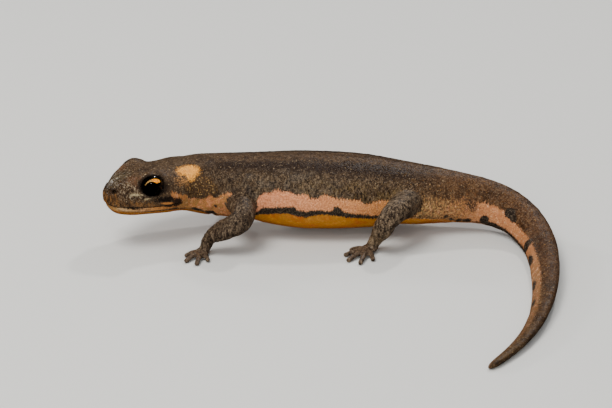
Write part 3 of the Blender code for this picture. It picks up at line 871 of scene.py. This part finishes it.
def markings(points):
    """The fields that the skin's material reads, by name."""
    back, angle, side, radius = body_places(points)
    place, top, bottom, low = np.array(BAND_ROWS, float).T
    top, bottom, low = (np.interp(back, place, edge) for edge in (top, bottom, low))
    belly = np.interp(back, *np.array(BELLY_ROWS, float).T)
    fields = {
        "back": back,
        "angle": angle,
        "leg": distances_to(BODY_TREE, points) - distances_to(LIMB_TREE, points),
        "band": np.minimum(between(angle, top, bottom, radius), back - place[0]),
        "border": between(angle, bottom, low + 0.01, radius),
        "belly": np.minimum(np.radians(angle - belly) * radius, (BELLY_END - back) * 0.5),
    }
    for name, rows in BLOTS.items():
        lower = FAR_SIDE_SHIFT * (side < 0) if name == "pale" else 0.0
        fields[name] = blots(back, angle - lower, radius, rows)
    above, forward = above_mouth(points)
    on_jaw = (back < HEAD_REACH) & (forward > MOUTH_END)
    fields["mouth"] = np.where(on_jaw, above, FIELD_LIMIT)
    fields["eye"] = eye_distance(points)
    return fields


def store(obj, fields):
    """Keeps each field on the mesh as an attribute of its points."""
    for name, values in fields.items():
        if name not in ("back", "angle"):
            values = np.clip(values, -FIELD_LIMIT, FIELD_LIMIT)
        attribute = obj.data.attributes.new(name, "FLOAT", "POINT")
        attribute.data.foreach_set("value", values.astype(np.float32))
    print(obj.name, "has the fields", ", ".join(fields))


store(skin, markings(points_of(skin)))

# %% [markdown]
# Materials are built from nodes by a few small helpers: one adds a node and feeds its sockets,
# others lay one colour over another, cut a field with a ragged edge, or give noise and cells at a
# size in millimetres. The nodes could be put together in the shader editor, but a skin with
# hundreds of them is easier to read and to change as a list of layers. Colours are noted as they
# look on a screen, from 0 to 255, and turned into the linear values that the shader wants.

# %% Helpers for materials
def colour(red, green, blue):
    """A colour as seen on a screen, 0 to 255, as the shader's linear value."""
    return (*((value / 255) ** 2.2 for value in (red, green, blue)), 1.0)


class Paint:
    """The nodes of one material, added one by one."""

    def __init__(self, name):
        self.material = bpy.data.materials.new(name)
        self.material.use_nodes = True
        self.tree = self.material.node_tree
        self.shader = self.tree.nodes["Principled BSDF"]
        place = self.add("ShaderNodeTexCoord")
        feeds = {0: place.outputs["Object"], "Scale": 1 / MM}
        self.place = self.add("ShaderNodeVectorMath", feeds, operation="SCALE").outputs[0]

    def add(self, kind, feeds=None, **settings):
        """A new node; feeds are links or values for its sockets, settings its own choices."""
        node = self.tree.nodes.new(kind)
        for key, value in settings.items():
            setattr(node, key, value)
        for key, value in (feeds or {}).items():
            if isinstance(value, bpy.types.NodeSocket):
                self.tree.links.new(value, node.inputs[key])
            else:
                node.inputs[key].default_value = value
        return node

    def field(self, name):
        return self.add("ShaderNodeAttribute", attribute_name=name).outputs["Fac"]

    def reckon(self, operation, *values):
        """The outcome of one step of arithmetic."""
        return self.add("ShaderNodeMath", dict(enumerate(values)), operation=operation).outputs[0]

    def sum(self, one, two):
        return self.reckon("ADD", one, two)

    def times(self, one, two):
        return self.reckon("MULTIPLY", one, two)

    def all_but(self, share, much=1.0):
        """1 where the share is 0, and less than that by much where it is 1."""
        return self.sum(1.0, self.times(share, -much))

    def rise(self, value, low, high):
        """0 below low, 1 above high; the other way round where low is the larger."""
        feeds = {"Value": value, "From Min": low, "From Max": high}
        node = self.add("ShaderNodeMapRange", feeds, interpolation_type="SMOOTHSTEP")
        return node.outputs["Result"]

    def noise(self, size, detail=3.0, roughness=0.55, tall=1.0, along_head=1.0):
        """Clouds of a size in millimetres; tall draws them out upwards into streaks, and
        along_head from the snout back."""
        turned = self.add("ShaderNodeVectorRotate", {"Vector": self.place}, rotation_type="Z_AXIS")
        turned.inputs["Angle"].default_value = -HEAD_TURN
        place = self.add("ShaderNodeVectorMath", {0: turned.outputs[0]}, operation="MULTIPLY")
        place.inputs[1].default_value = (1.0 / along_head, 1.0, 1.0 / tall)
        clouds = self.add("ShaderNodeTexNoise", {"Vector": place.outputs[0], "Scale": 1 / size})
        clouds.inputs["Detail"].default_value = detail
        clouds.inputs["Roughness"].default_value = roughness
        return clouds.outputs["Fac"]

    def wander(self, reach, *size, **shape):
        """Noise that goes to both sides of nought, over a reach."""
        return self.times(self.sum(self.noise(*size, **shape), -0.5), reach)

    def cells(self, size):
        """A node that parts the surface into rounded cells of a size in millimetres."""
        return self.add("ShaderNodeTexVoronoi", {"Vector": self.place, "Scale": 1 / size})

    def blend(self, share, first, second):
        """The first colour where the share is 0, the second where it is 1."""
        feeds = {0: share, 6: first, 7: second}
        return self.add("ShaderNodeMix", feeds, data_type="RGBA").outputs[2]

    def lay(self, under, tint, share, strength=1.0):
        """Lays a tint over a colour, as thick as the share says, times a strength."""
        if strength != 1.0:
            share = self.times(share, strength)
        return self.blend(share, under, colour(*tint))

    def cut(self, name, ragged=0.2, size=0.5, soft=0.06, tall=1.0):
        """1 inside a marking and 0 outside, with an edge that wanders by the ragged distance."""
        wander = self.wander(4 * ragged, size, 4.0, 0.6, tall)
        return self.rise(self.sum(self.field(name), wander), -soft, soft)

    def feed(self, **sockets):
        """Feeds the shader's own sockets, by their names."""
        for key, value in sockets.items():
            socket = self.shader.inputs[key.replace("_", " ").title()]
            if isinstance(value, bpy.types.NodeSocket):
                self.tree.links.new(value, socket)
            else:
                socket.default_value = value


# %% [markdown]
# The skin's colour is laid on in the order in which a painter would: the brown ground, which
# changes along the body, with its lighter strip and darker bands; then streaks, granules and
# flecks; then belly, band, border and spots; then the neck's and the head's own patches, the
# snout's painted sheen and highlights, and the lips, with painted shade along the mouth and round
# the lids. One photo wrapped round it could never fit all sides, and layers can be changed one
# by one.
# The granules are cells of a little over a quarter of a millimetre, and the same cells give the
# bump, so colour and form agree; the gaps between them are darkened as painted shade.

# %% Paint the skin
GRANULE = 0.28
WART = 0.75
BLACK = colour(41, 33, 27)


def along_body(paint, stops):
    """A colour that changes with the distance back from the snout. Each stop is a distance,
    then red, green and blue as seen on a screen."""
    share = paint.times(paint.field("back"), 1 / BODY_LENGTH)
    ramp = paint.add("ShaderNodeValToRGB", {"Fac": share})
    elements = ramp.color_ramp.elements
    while len(elements) > 1:
        elements.remove(elements[-1])
    elements[0].position = stops[0][0] / BODY_LENGTH
    elements[0].color = colour(*stops[0][1:])
    for place, *shade in stops[1:]:
        elements.new(place / BODY_LENGTH).color = colour(*shade)
    return ramp.outputs["Color"]


class SkinPaint(Paint):
    """The newt's skin, laid on in the order of the functions below."""

    def __init__(self, name):
        super().__init__(name)
        self.angle = self.field("angle")
        self.back = self.field("back")
        self.on_leg = self.rise(self.field("leg"), -0.2, 0.5)
        self.height = self.add("ShaderNodeSeparateXYZ", {0: self.place}).outputs["Z"]
        low = self.rise(self.height, 1.9, 0.9)
        self.paw = self.times(low, self.rise(self.field("leg"), 1.5, 3.0))
        wander = self.wander(2.4, 0.5, 3.0, 0.6)
        self.off_leg = self.rise(self.sum(self.field("leg"), wander), 0.0, -0.35)
        self.patches = self.noise(2.4, 4.0, 0.6)
        self.mottle = self.noise(0.6, 3.0, 0.6, tall=1.6)
        self.streaks = self.noise(0.3, 3.0, 0.65, tall=5.0)
        self.grain = self.noise(0.21, 3.0, 0.7)
        self.clumps = self.rise(self.noise(1.5, 3.0, 0.6), 0.4, 0.6)
        granules = self.cells(GRANULE)
        distance = granules.outputs["Distance"]
        self.granule_top = self.rise(distance, 0.5, 0.1)
        # the gaps between the granules, which are darkened as painted shade
        self.granule_gap_shade = self.rise(distance, 0.4, 0.7)
        luck = self.add("ShaderNodeSeparateColor", {0: granules.outputs["Color"]})
        self.luck = luck.outputs

    def within(self, first, full, fading, last):
        """1 between two places along the body, easing in before and out after them."""
        return self.times(self.rise(self.back, first, full), self.rise(self.back, last, fading))

    def flecks(self, draw, low, high, cover):
        """Some of the granules, picked by a number that each draws at random."""
        picked = self.times(self.rise(self.luck[draw], low, high), self.granule_top)
        return self.times(picked, cover)


GROUND_COLOURS = (
    (0.0, 70, 50, 32), (6.0, 84, 64, 44), (16.0, 84, 65, 46), (30.0, 90, 73, 54),
    (45.0, 86, 66, 45), (54.0, 101, 70, 43), (75.0, 80, 50, 26), (92.0, 79, 53, 27),
    (108.0, 80, 60, 34),
)


def lay_ground(paint):
    """The brown of the back, flanks, tail and legs."""
    ragged_angle = paint.sum(paint.angle, paint.wander(26.0, 1.1, 4.0, 0.6))
    ground = along_body(paint, GROUND_COLOURS)
    strip = paint.times(paint.rise(ragged_angle, 24.0, 12.0), paint.within(12.0, 20.0, 48.0, 60.0))
    ground = paint.lay(ground, (80, 58, 40), strip, 0.75)
    shade = paint.times(paint.rise(ragged_angle, 13.0, 23.0), paint.rise(ragged_angle, 50.0, 34.0))
    shade = paint.times(shade, paint.within(14.0, 20.0, 44.0, 54.0))
    ground = paint.lay(ground, (36, 20, 9), shade, 0.9)
    dark_patch = paint.times(paint.rise(paint.patches, 0.45, 0.7), 0.7)
    ground = paint.lay(ground, (48, 34, 24), dark_patch)
    blotch = paint.times(paint.rise(paint.mottle, 0.5, 0.62), 0.5)
    ground = paint.lay(ground, (38, 25, 16), blotch)
    off_shade = paint.sum(0.3, paint.times(shade, -0.3))
    light_blotch = paint.times(paint.rise(paint.mottle, 0.46, 0.36), off_shade)
    ground = paint.lay(ground, (124, 100, 72), light_blotch)
    flank = paint.times(paint.rise(ragged_angle, 34.0, 50.0), paint.within(8.0, 12.0, 46.0, 54.0))
    grey = paint.rise(paint.noise(1.4, 4.0, 0.6), 0.44, 0.62)
    grey = paint.times(grey, paint.within(18.0, 24.0, 34.0, 40.0))
    ground = paint.lay(ground, (94, 86, 76), paint.times(grey, flank), 0.5)
    olive = paint.rise(paint.noise(1.2, 4.0, 0.6), 0.42, 0.6)
    olive = paint.times(olive, paint.within(28.0, 34.0, 44.0, 48.0))
    olive = paint.times(olive, paint.rise(ragged_angle, 46.0, 66.0))
    ground = paint.lay(ground, (122, 98, 58), olive, 0.5)

    hind = paint.rise(paint.back, 30.0, 38.0)
    dark_leg = paint.blend(hind, colour(58, 44, 34), colour(50, 39, 30))
    # the legs' pale mottle, greyed so that it also stands in for a painted sheen
    pale_leg_and_sheen = paint.blend(hind, colour(92, 76, 60), colour(118, 99, 78))
    leg = paint.blend(paint.rise(paint.mottle, 0.38, 0.64), dark_leg, pale_leg_and_sheen)
    # painted light: the lower parts of the hind legs are lightened, as if lit
    shin = paint.times(paint.times(hind, paint.rise(paint.height, 4.6, 3.0)), 0.45)
    leg = paint.lay(leg, (134, 112, 84), shin)
    leg = paint.lay(leg, (94, 78, 64), paint.paw)
    ground = paint.blend(paint.on_leg, ground, leg)

    thread = paint.reckon("ABSOLUTE", paint.sum(paint.noise(0.7, 2.0, 0.5, tall=6.0), -0.5))
    thread = paint.times(paint.rise(thread, 0.03, 0.008), flank)
    ground = paint.lay(ground, (40, 31, 25), thread, 0.6)
    long_streaks = paint.sum(flank, paint.times(paint.on_leg, 0.3))
    pale_streak = paint.times(paint.rise(paint.streaks, 0.54, 0.66), long_streaks)
    ground = paint.lay(ground, (140, 120, 95), pale_streak, 0.55)
    dark_streak = paint.times(paint.rise(paint.streaks, 0.47, 0.37), long_streaks)
    ground = paint.lay(ground, (34, 27, 22), dark_streak, 0.85)
    pale_grain = paint.times(paint.rise(paint.grain, 0.54, 0.66), 0.42)
    pale_grain = paint.times(pale_grain, paint.all_but(paint.paw, 0.6))
    ground = paint.lay(ground, (152, 128, 100), pale_grain)
    dark_grain = paint.times(paint.rise(paint.grain, 0.48, 0.37), 0.54)
    ground = paint.lay(ground, (30, 20, 14), dark_grain)
    # painted shade in the gaps between the granules
    ground = paint.lay(ground, (28, 19, 13), paint.granule_gap_shade, 0.42)
    face = paint.rise(paint.back, 12.0, 4.0)
    beige = paint.flecks("Red", 0.86, 0.95, paint.times(paint.sum(paint.clumps, face), 0.6))
    ground = paint.lay(ground, (186, 160, 122), beige)
    rear = paint.within(41.0, 50.0, 86.0, 100.0)
    gold = paint.flecks("Blue", 0.8, 0.92, paint.times(paint.times(rear, paint.clumps), 0.6))
    ground = paint.lay(ground, (186, 134, 74), gold)
    return paint.lay(ground, (34, 24, 17), paint.flecks("Green", 0.78, 0.9, 0.5))


BELLY_COLOURS = (
    (0.0, 140, 92, 16), (10.0, 146, 94, 18), (22.0, 154, 98, 18), (32.0, 162, 104, 18),
    (46.0, 174, 116, 24), (56.0, 166, 104, 26),
)


def lay_belly(paint, under):
    """The orange of the underside, with painted shade towards its lower middle."""
    belly = along_body(paint, BELLY_COLOURS)
    belly = paint.lay(belly, (160, 72, 6), paint.rise(paint.patches, 0.45, 0.7), 0.7)
    belly = paint.lay(belly, (196, 130, 34), paint.rise(paint.mottle, 0.5, 0.66), 0.5)
    # painted shade: the underside is darker towards its lower middle
    belly = paint.lay(belly, (120, 58, 10), paint.rise(paint.angle, 118.0, 146.0), 0.5)
    # painted shade in the gaps between the granules
    belly = paint.lay(belly, (120, 58, 8), paint.granule_gap_shade, 0.12)
    share = paint.times(paint.cut("belly", 0.1, 0.5), paint.off_leg)
    return paint.blend(share, under, belly)


BAND_COLOURS = (
    (9.0, 168, 110, 58), (14.0, 160, 112, 52), (19.0, 190, 128, 74), (24.0, 222, 142, 100),
    (32.0, 224, 148, 100), (44.0, 208, 140, 78), (49.0, 180, 144, 88), (55.0, 176, 124, 72),
    (58.5, 188, 126, 80), (66.0, 184, 124, 80), (73.0, 158, 106, 66), (80.0, 132, 96, 58),
    (92.0, 116, 88, 52), (104.0, 100, 76, 44),
)


def lay_band(paint, under):
    """The pale band, with the speckled hip and the fading end, and its black border."""
    band_colour = along_body(paint, BAND_COLOURS)
    pink = paint.times(paint.rise(paint.mottle, 0.5, 0.7), 0.5)
    band_colour = paint.lay(band_colour, (236, 170, 128), pink)
    low = paint.times(paint.rise(paint.grain, 0.48, 0.34), 0.6)
    band_colour = paint.lay(band_colour, (152, 88, 56), low)
    throat = paint.times(paint.rise(paint.patches, 0.44, 0.56), paint.rise(paint.back, 24.0, 20.0))
    band_colour = paint.lay(band_colour, (126, 98, 52), throat, 0.6)
    rosy = paint.times(paint.rise(paint.mottle, 0.46, 0.6), paint.within(12.0, 15.0, 21.0, 24.0))
    band_colour = paint.lay(band_colour, (206, 130, 86), rosy, 0.6)
    # painted shade in the gaps between the granules
    band_colour = paint.lay(band_colour, (146, 84, 50), paint.granule_gap_shade, 0.5)
    band_colour = paint.lay(band_colour, (252, 200, 156), paint.flecks("Red", 0.8, 0.9, 0.45))
    hip = paint.within(43.5, 46.5, 54.0, 58.5)
    crisp = paint.cut("band", 0.42, 0.2, 0.2, tall=3.0)
    fuzzy = paint.cut("band", 1.7, 0.26, 1.2, tall=2.2)
    edge = paint.add("ShaderNodeMix", {0: hip, 2: crisp, 3: fuzzy}).outputs[0]
    band = paint.times(edge, paint.off_leg)
    speckle = paint.rise(paint.noise(0.26, 4.0, 0.7, tall=1.8), 0.46, 0.58)
    cover = paint.all_but(paint.times(hip, speckle), 0.8)
    fading = paint.times(paint.rise(paint.back, 78.0, 104.0), 0.75)
    cover = paint.times(cover, paint.all_but(fading))
    result = paint.blend(paint.times(band, cover), under, band_colour)

    border = paint.cut("border", 0.34, 0.18, 0.14, tall=3.0)
    border = paint.times(border, paint.rise(paint.back, 21.0, 23.0))
    border_cover = paint.all_but(paint.rise(paint.back, 42.5, 45.0), 0.9)
    border_cover = paint.sum(border_cover, paint.times(paint.rise(paint.back, 58.5, 60.0), 0.8))
    border = paint.times(paint.times(border, border_cover), paint.off_leg)
    black = paint.lay(BLACK, (104, 90, 72), paint.rise(paint.grain, 0.5, 0.62), 0.6)
    result = paint.blend(border, result, black)
    spots = paint.times(paint.cut("black", 0.2, 0.24, 0.12), paint.off_leg)
    mottle = paint.times(paint.cut("mottle", 0.5, 0.4, 0.4), paint.rise(paint.grain, 0.66, 0.48))
    spots = paint.sum(spots, paint.times(mottle, 0.85))
    return paint.blend(spots, result, black)


def lay_neck(paint, under):
    """The gland's gold-flecked dark, the pale patch above it and the tan in front of it."""
    gland = paint.times(paint.cut("gland", 0.4, 0.6, 0.35), 0.85)
    result = paint.lay(under, (66, 48, 31), gland)
    gold = paint.times(paint.rise(paint.noise(0.2, 3.0, 0.7, tall=1.8), 0.54, 0.66), gland)
    result = paint.lay(result, (168, 126, 70), gold, 0.8)
    glints = paint.flecks("Red", 0.8, 0.9, paint.times(gland, 0.8))
    result = paint.lay(result, (222, 182, 118), glints)
    tan = paint.times(paint.cut("tan", 0.6, 0.3, 0.5), paint.rise(paint.grain, 0.44, 0.58))
    result = paint.lay(result, (176, 122, 68), tan, 0.75)
    pale = paint.cut("pale", 0.42, 0.24, 0.34)
    shine = paint.rise(paint.grain, 0.35, 0.65)
    pale_colour = paint.blend(shine, colour(208, 128, 46), colour(246, 172, 70))
    return paint.blend(pale, result, pale_colour)


LIP_COLOURS = (
    (0.0, 140, 96, 46), (2.2, 184, 142, 84), (4.6, 200, 146, 96), (6.4, 188, 124, 62),
    (10.0, 170, 106, 44),
)


def lay_face(paint, under):
    """Snout, lips and lids, with painted sheen, glints and crease shade on the snout's top,
    a painted highlight along the folds before the eye, painted shade along the mouth, and a dark
    lid rim that is partly the lids' own skin and partly painted shade.
    """
    red = paint.times(paint.cut("red", 0.6, 0.4, 0.5), paint.rise(paint.mottle, 0.36, 0.5))
    under = paint.lay(under, (100, 68, 46), red, 0.65)
    creases = paint.noise(0.36, 3.0, 0.6, along_head=4.0)
    # painted sheen on the snout's top, with painted glints along its creases
    sheen = paint.cut("sheen", 0.7, 0.5, 0.7)
    under = paint.lay(under, (88, 80, 62), sheen, 0.4)
    glints = paint.times(sheen, paint.rise(creases, 0.57, 0.68))
    under = paint.lay(under, (176, 168, 148), glints, 0.6)
    # painted shade in the hollows between the creases
    crease_shade = paint.times(sheen, paint.rise(creases, 0.46, 0.38))
    under = paint.lay(under, (40, 34, 26), crease_shade, 0.7)
    around = paint.cut("grey", 0.9, 0.4, 0.8)
    speckle = paint.noise(0.26, 4.0, 0.7, tall=1.6)
    grey = paint.times(around, paint.rise(speckle, 0.52, 0.62))
    result = paint.lay(under, (158, 142, 116), grey, 0.7)
    gaps = paint.times(around, paint.rise(speckle, 0.5, 0.4))
    result = paint.lay(result, (34, 25, 17), gaps, 0.7)
    tip = paint.times(paint.cut("tip", 0.8, 0.4, 0.7), 0.75)
    result = paint.lay(result, (38, 26, 19), tip)
    streaks = paint.noise(0.4, 4.0, 0.75, tall=2.6)
    snout = paint.times(paint.cut("snout", 0.9, 0.5, 0.8), 0.7)
    snout_colour = paint.blend(paint.rise(streaks, 0.4, 0.6), colour(42, 28, 15), colour(132, 89, 42))
    result = paint.blend(snout, result, snout_colour)
    # a painted highlight along the wet folds before the eye
    fold = paint.times(paint.cut("fold", 0.12, 0.3, 0.12), 0.75)
    result = paint.lay(result, (184, 164, 124), fold)
    mouth = paint.field("mouth")
    lower_lip = paint.times(paint.rise(mouth, -0.85, -0.5), paint.rise(mouth, 0.0, -0.08))
    lip_colour = along_body(paint, LIP_COLOURS)
    lip_shade = paint.times(paint.rise(paint.noise(0.5, 3.0, 0.6, tall=1.6), 0.48, 0.6), 0.6)
    lip_colour = paint.lay(lip_colour, (112, 74, 40), lip_shade)
    result = paint.blend(paint.times(lower_lip, 0.85), result, lip_colour)
    pale_lip = paint.times(paint.cut("pale_lip", 0.3, 0.4, 0.2), 0.8)
    result = paint.lay(result, (190, 152, 108), pale_lip)
    result = paint.lay(result, (30, 23, 20), paint.cut("lip", 0.3, 0.3, 0.2), 0.95)
    result = paint.lay(result, (176, 112, 52), paint.cut("streak", 0.05, 0.3), 0.85)
    # painted shade in the mouth's groove
    nearness = paint.reckon("ABSOLUTE", mouth)
    result = paint.lay(result, (28, 18, 12), paint.rise(nearness, 0.12, 0.03), 0.75)
    # the lids' dark rim: partly their own dark skin, partly painted shade where they meet the eye
    lid = paint.rise(paint.field("eye"), 0.34, 0.04)
    return paint.lay(result, (28, 21, 15), lid, 0.85)


def finish_skin(paint, result):
    """Granules and warts as fine relief, and a gloss that differs from granule to granule."""
    rough = paint.rise(paint.field("belly"), 0.5, -0.5)
    granules = paint.times(paint.granule_top, paint.sum(0.12, paint.times(rough, 0.88)))
    height = paint.sum(granules, paint.times(paint.noise(0.12, 2.0, 0.5), 0.35))
    height = paint.sum(height, paint.times(paint.noise(WART, 2.0, 0.5), 0.9))
    bump = paint.add("ShaderNodeBump", {"Height": height, "Distance": 0.1 * MM, "Strength": 0.9})
    roughness = paint.sum(0.36, paint.times(paint.noise(0.3, 3.0, 0.6), 0.3))
    roughness = paint.sum(roughness, paint.flecks("Blue", 0.6, 0.8, -0.26))
    wet = paint.times(paint.rise(paint.back, 6.0, 3.0), paint.rise(paint.angle, 60.0, 25.0))
    roughness = paint.sum(roughness, paint.times(wet, -0.16))
    roughness = paint.sum(roughness, paint.times(paint.paw, -0.1))
    paint.feed(base_color=result, roughness=roughness, normal=bump.outputs[0])
    paint.shader.inputs["Specular IOR Level"].default_value = 0.36


def paint_skin():
    paint = SkinPaint("newt_skin")
    result = lay_ground(paint)
    for layer in (lay_belly, lay_band, lay_neck, lay_face):
        result = layer(paint, result)
    finish_skin(paint, result)
    return paint.material


skin.data.materials.append(paint_skin())
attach(skin, "root")
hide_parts(*FLESH)
print("skin painted with", len(skin.data.materials[0].node_tree.nodes), "nodes")

# %% [markdown]
# The eyes are separate balls, as in life. Each is a sphere whose pole looks outwards, with the
# cornea raised a little in the middle. The pupil is black and so is most of the iris, apart from
# a crescent of gold above the pupil, thicker towards the rear. The material finds its way by two
# fields on the points: how far they lie ahead of the gaze and above it, in millimetres.

# %% Eyes
EYE_SEGMENTS, EYE_RINGS = 96, 64
CORNEA_RISE = 0.05
CORNEA_ANGLE = 42.0


def make_eye(name, side):
    ahead, above, gaze = eye_axes(side)
    turn = Vector(gaze).to_track_quat("Z", "Y").to_euler()
    bpy.ops.object.select_all(action="DESELECT")
    bpy.ops.mesh.primitive_uv_sphere_add(
        segments=EYE_SEGMENTS,
        ring_count=EYE_RINGS,
        radius=EYE_RADIUS * MM,
        location=eye_centre(side) * MM,
        rotation=turn,
    )
    eye = bpy.context.active_object
    eye.name = f"eyeball_{name}"
    bpy.ops.object.transform_apply(location=True, rotation=True, scale=True)
    bpy.ops.object.shade_smooth()
    away = unit(points_of(eye) - eye_centre(side))
    off = np.degrees(np.arccos(np.clip(away @ gaze, -1, 1)))
    cornea = EYE_RADIUS + CORNEA_RISE * (1 - ease(off, 0.0, CORNEA_ANGLE))
    set_points(eye, eye_centre(side) + away * cornea[:, None])
    store(eye, {"ahead": away @ ahead * EYE_RADIUS, "above": away @ above * EYE_RADIUS})
    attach(eye, "root")
    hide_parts(f"eye_{name}")
    return eye


def oval(paint, across, upward, middle, size):
    """How far out in an oval each point is: 1 on its edge."""
    x = paint.times(paint.sum(across, -middle[0]), 1 / size[0])
    y = paint.times(paint.sum(upward, -middle[1]), 1 / size[1])
    squares = paint.sum(paint.times(x, x), paint.times(y, y))
    return paint.reckon("POWER", squares, 0.5)


def paint_eye():
    paint = Paint("newt_eye")
    across = paint.field("ahead")
    upward = paint.field("above")
    outer = oval(paint, across, upward, (-0.05, -0.3), (1.5, 1.42))
    pupil = oval(paint, across, upward, (0.42, -0.35), (1.05, 1.1))
    ragged = paint.wander(0.1, 0.14, 2.0)
    gold = paint.rise(paint.sum(outer, ragged), 1.02, 0.97)
    gold = paint.times(gold, paint.rise(paint.sum(pupil, ragged), 0.97, 1.03))
    tilted = paint.sum(upward, paint.times(across, 0.12))
    gold = paint.times(gold, paint.rise(paint.sum(tilted, ragged), 0.36, 0.44))
    gold = paint.times(gold, paint.rise(paint.sum(across, ragged), -1.06, -0.95))
    threads = paint.noise(0.15, 3.0, 0.7)
    rear = paint.rise(across, 0.5, -0.1)
    bright = paint.blend(rear, colour(176, 136, 78), colour(252, 156, 14))
    low = paint.blend(rear, colour(120, 80, 34), colour(196, 86, 6))
    metal = paint.blend(paint.rise(threads, 0.36, 0.56), low, bright)
    metal = paint.lay(metal, (255, 224, 120), paint.times(paint.rise(threads, 0.58, 0.66), rear))
    iris = paint.blend(paint.rise(threads, 0.62, 0.76), colour(8, 6, 4), colour(30, 21, 10))
    result = paint.blend(gold, iris, metal)
    result = paint.lay(result, (4, 3, 3), paint.rise(pupil, 1.0, 0.97))
    paint.feed(base_color=result, roughness=paint.sum(0.3, paint.times(threads, 0.15)))
    paint.shader.inputs["Specular IOR Level"].default_value = 0.06
    paint.shader.inputs["Coat Weight"].default_value = 1.0
    paint.shader.inputs["Coat Roughness"].default_value = 0.02
    paint.shader.inputs["Coat IOR"].default_value = 1.38
    return paint.material


eye_paint = paint_eye()
for name, side in SIDES.items():
    make_eye(name, side).data.materials.append(eye_paint)

# %% [markdown]
# A plain pale floor carries the model. The light is that of an overcast day: a large soft lamp
# above, a little to the front and to the head's side, a weaker one from the front, and a pale sky
# all round. Three small lamps give the wet skin and the eyes their highlights. A picture of a real
# sky could light it too, but it would be one more file. The soft lamps, the sky and the floor are
# kept out of reflections, because they would lay a grey veil over the wet skin.

# %% Floor, light and camera
FLOOR_SIZE = 4.0
bpy.ops.object.select_all(action="DESELECT")
bpy.ops.mesh.primitive_plane_add(size=FLOOR_SIZE)
floor = bpy.context.active_object
floor.name = "floor"
floor_paint = Paint("floor")
floor_paint.feed(base_color=colour(214, 213, 208), roughness=0.85)
floor.data.materials.append(floor_paint.material)
floor.visible_glossy = False


# name, place in millimetres, size, watts, tint, and whether reflections show it
LAMPS = (
    ("sky_lamp", (-130, -110, 370), 180, 1.4, (1.0, 0.98, 0.95), False),
    ("front_lamp", (-80, -370, 130), 260, 0.62, (1.0, 0.97, 0.93), False),
    ("small_lamp", (-20, -232, 262), 16, 0.1, (1.0, 0.99, 0.97), True),
    ("rear_lamp", (99, 190, 255), 26, 0.34, (1.0, 0.98, 0.96), True),
    ("side_lamp", (-290, 217, 170), 50, 0.4, (1.0, 0.99, 0.97), True),
)


def add_lamp(name, place, size, watts, tint, reflected):
    """A square lamp at a place in millimetres, turned to the newt."""
    light = bpy.data.lights.new(name, "AREA")
    light.size = size * MM
    light.energy = watts
    light.color = tint
    lamp = bpy.data.objects.new(name, light)
    bpy.context.scene.collection.objects.link(lamp)
    lamp.location = Vector(place) * MM
    lamp.rotation_euler = Vector(place).to_track_quat("Z", "Y").to_euler()
    lamp.visible_glossy = reflected


for row in LAMPS:
    add_lamp(*row)
print("lamps:", len(LAMPS))

SKY_TINT, SKY_STRENGTH = (0.92, 0.95, 1.0, 1.0), 0.55
world = bpy.data.worlds.new("pale_sky")
bpy.context.scene.world = world
world.use_nodes = True
sky = world.node_tree.nodes["Background"]
sky.inputs["Color"].default_value = SKY_TINT
sky.inputs["Strength"].default_value = SKY_STRENGTH
world.cycles_visibility.glossy = False

CAMERA_HEIGHT_ANGLE = math.radians(25)
CAMERA_DISTANCE = 350.0
CAMERA_TARGET = np.array((0.0, -0.9, 4.47)) + SOLIDS_SHIFT
LENS, SENSOR_WIDTH = 137.0, 36.0
camera = bpy.data.objects.new("camera", bpy.data.cameras.new("camera"))
bpy.context.scene.collection.objects.link(camera)
toward_camera = np.array((0.0, -math.cos(CAMERA_HEIGHT_ANGLE), math.sin(CAMERA_HEIGHT_ANGLE)))
camera.location = (CAMERA_TARGET + toward_camera * CAMERA_DISTANCE) * MM
camera.rotation_euler = (math.pi / 2 - CAMERA_HEIGHT_ANGLE, 0.0, 0.0)
camera.data.lens = LENS
camera.data.sensor_width = SENSOR_WIDTH
camera.data.clip_start = 0.01
bpy.context.scene.camera = camera
print("camera", CAMERA_DISTANCE, "mm away, lens", LENS, "mm")
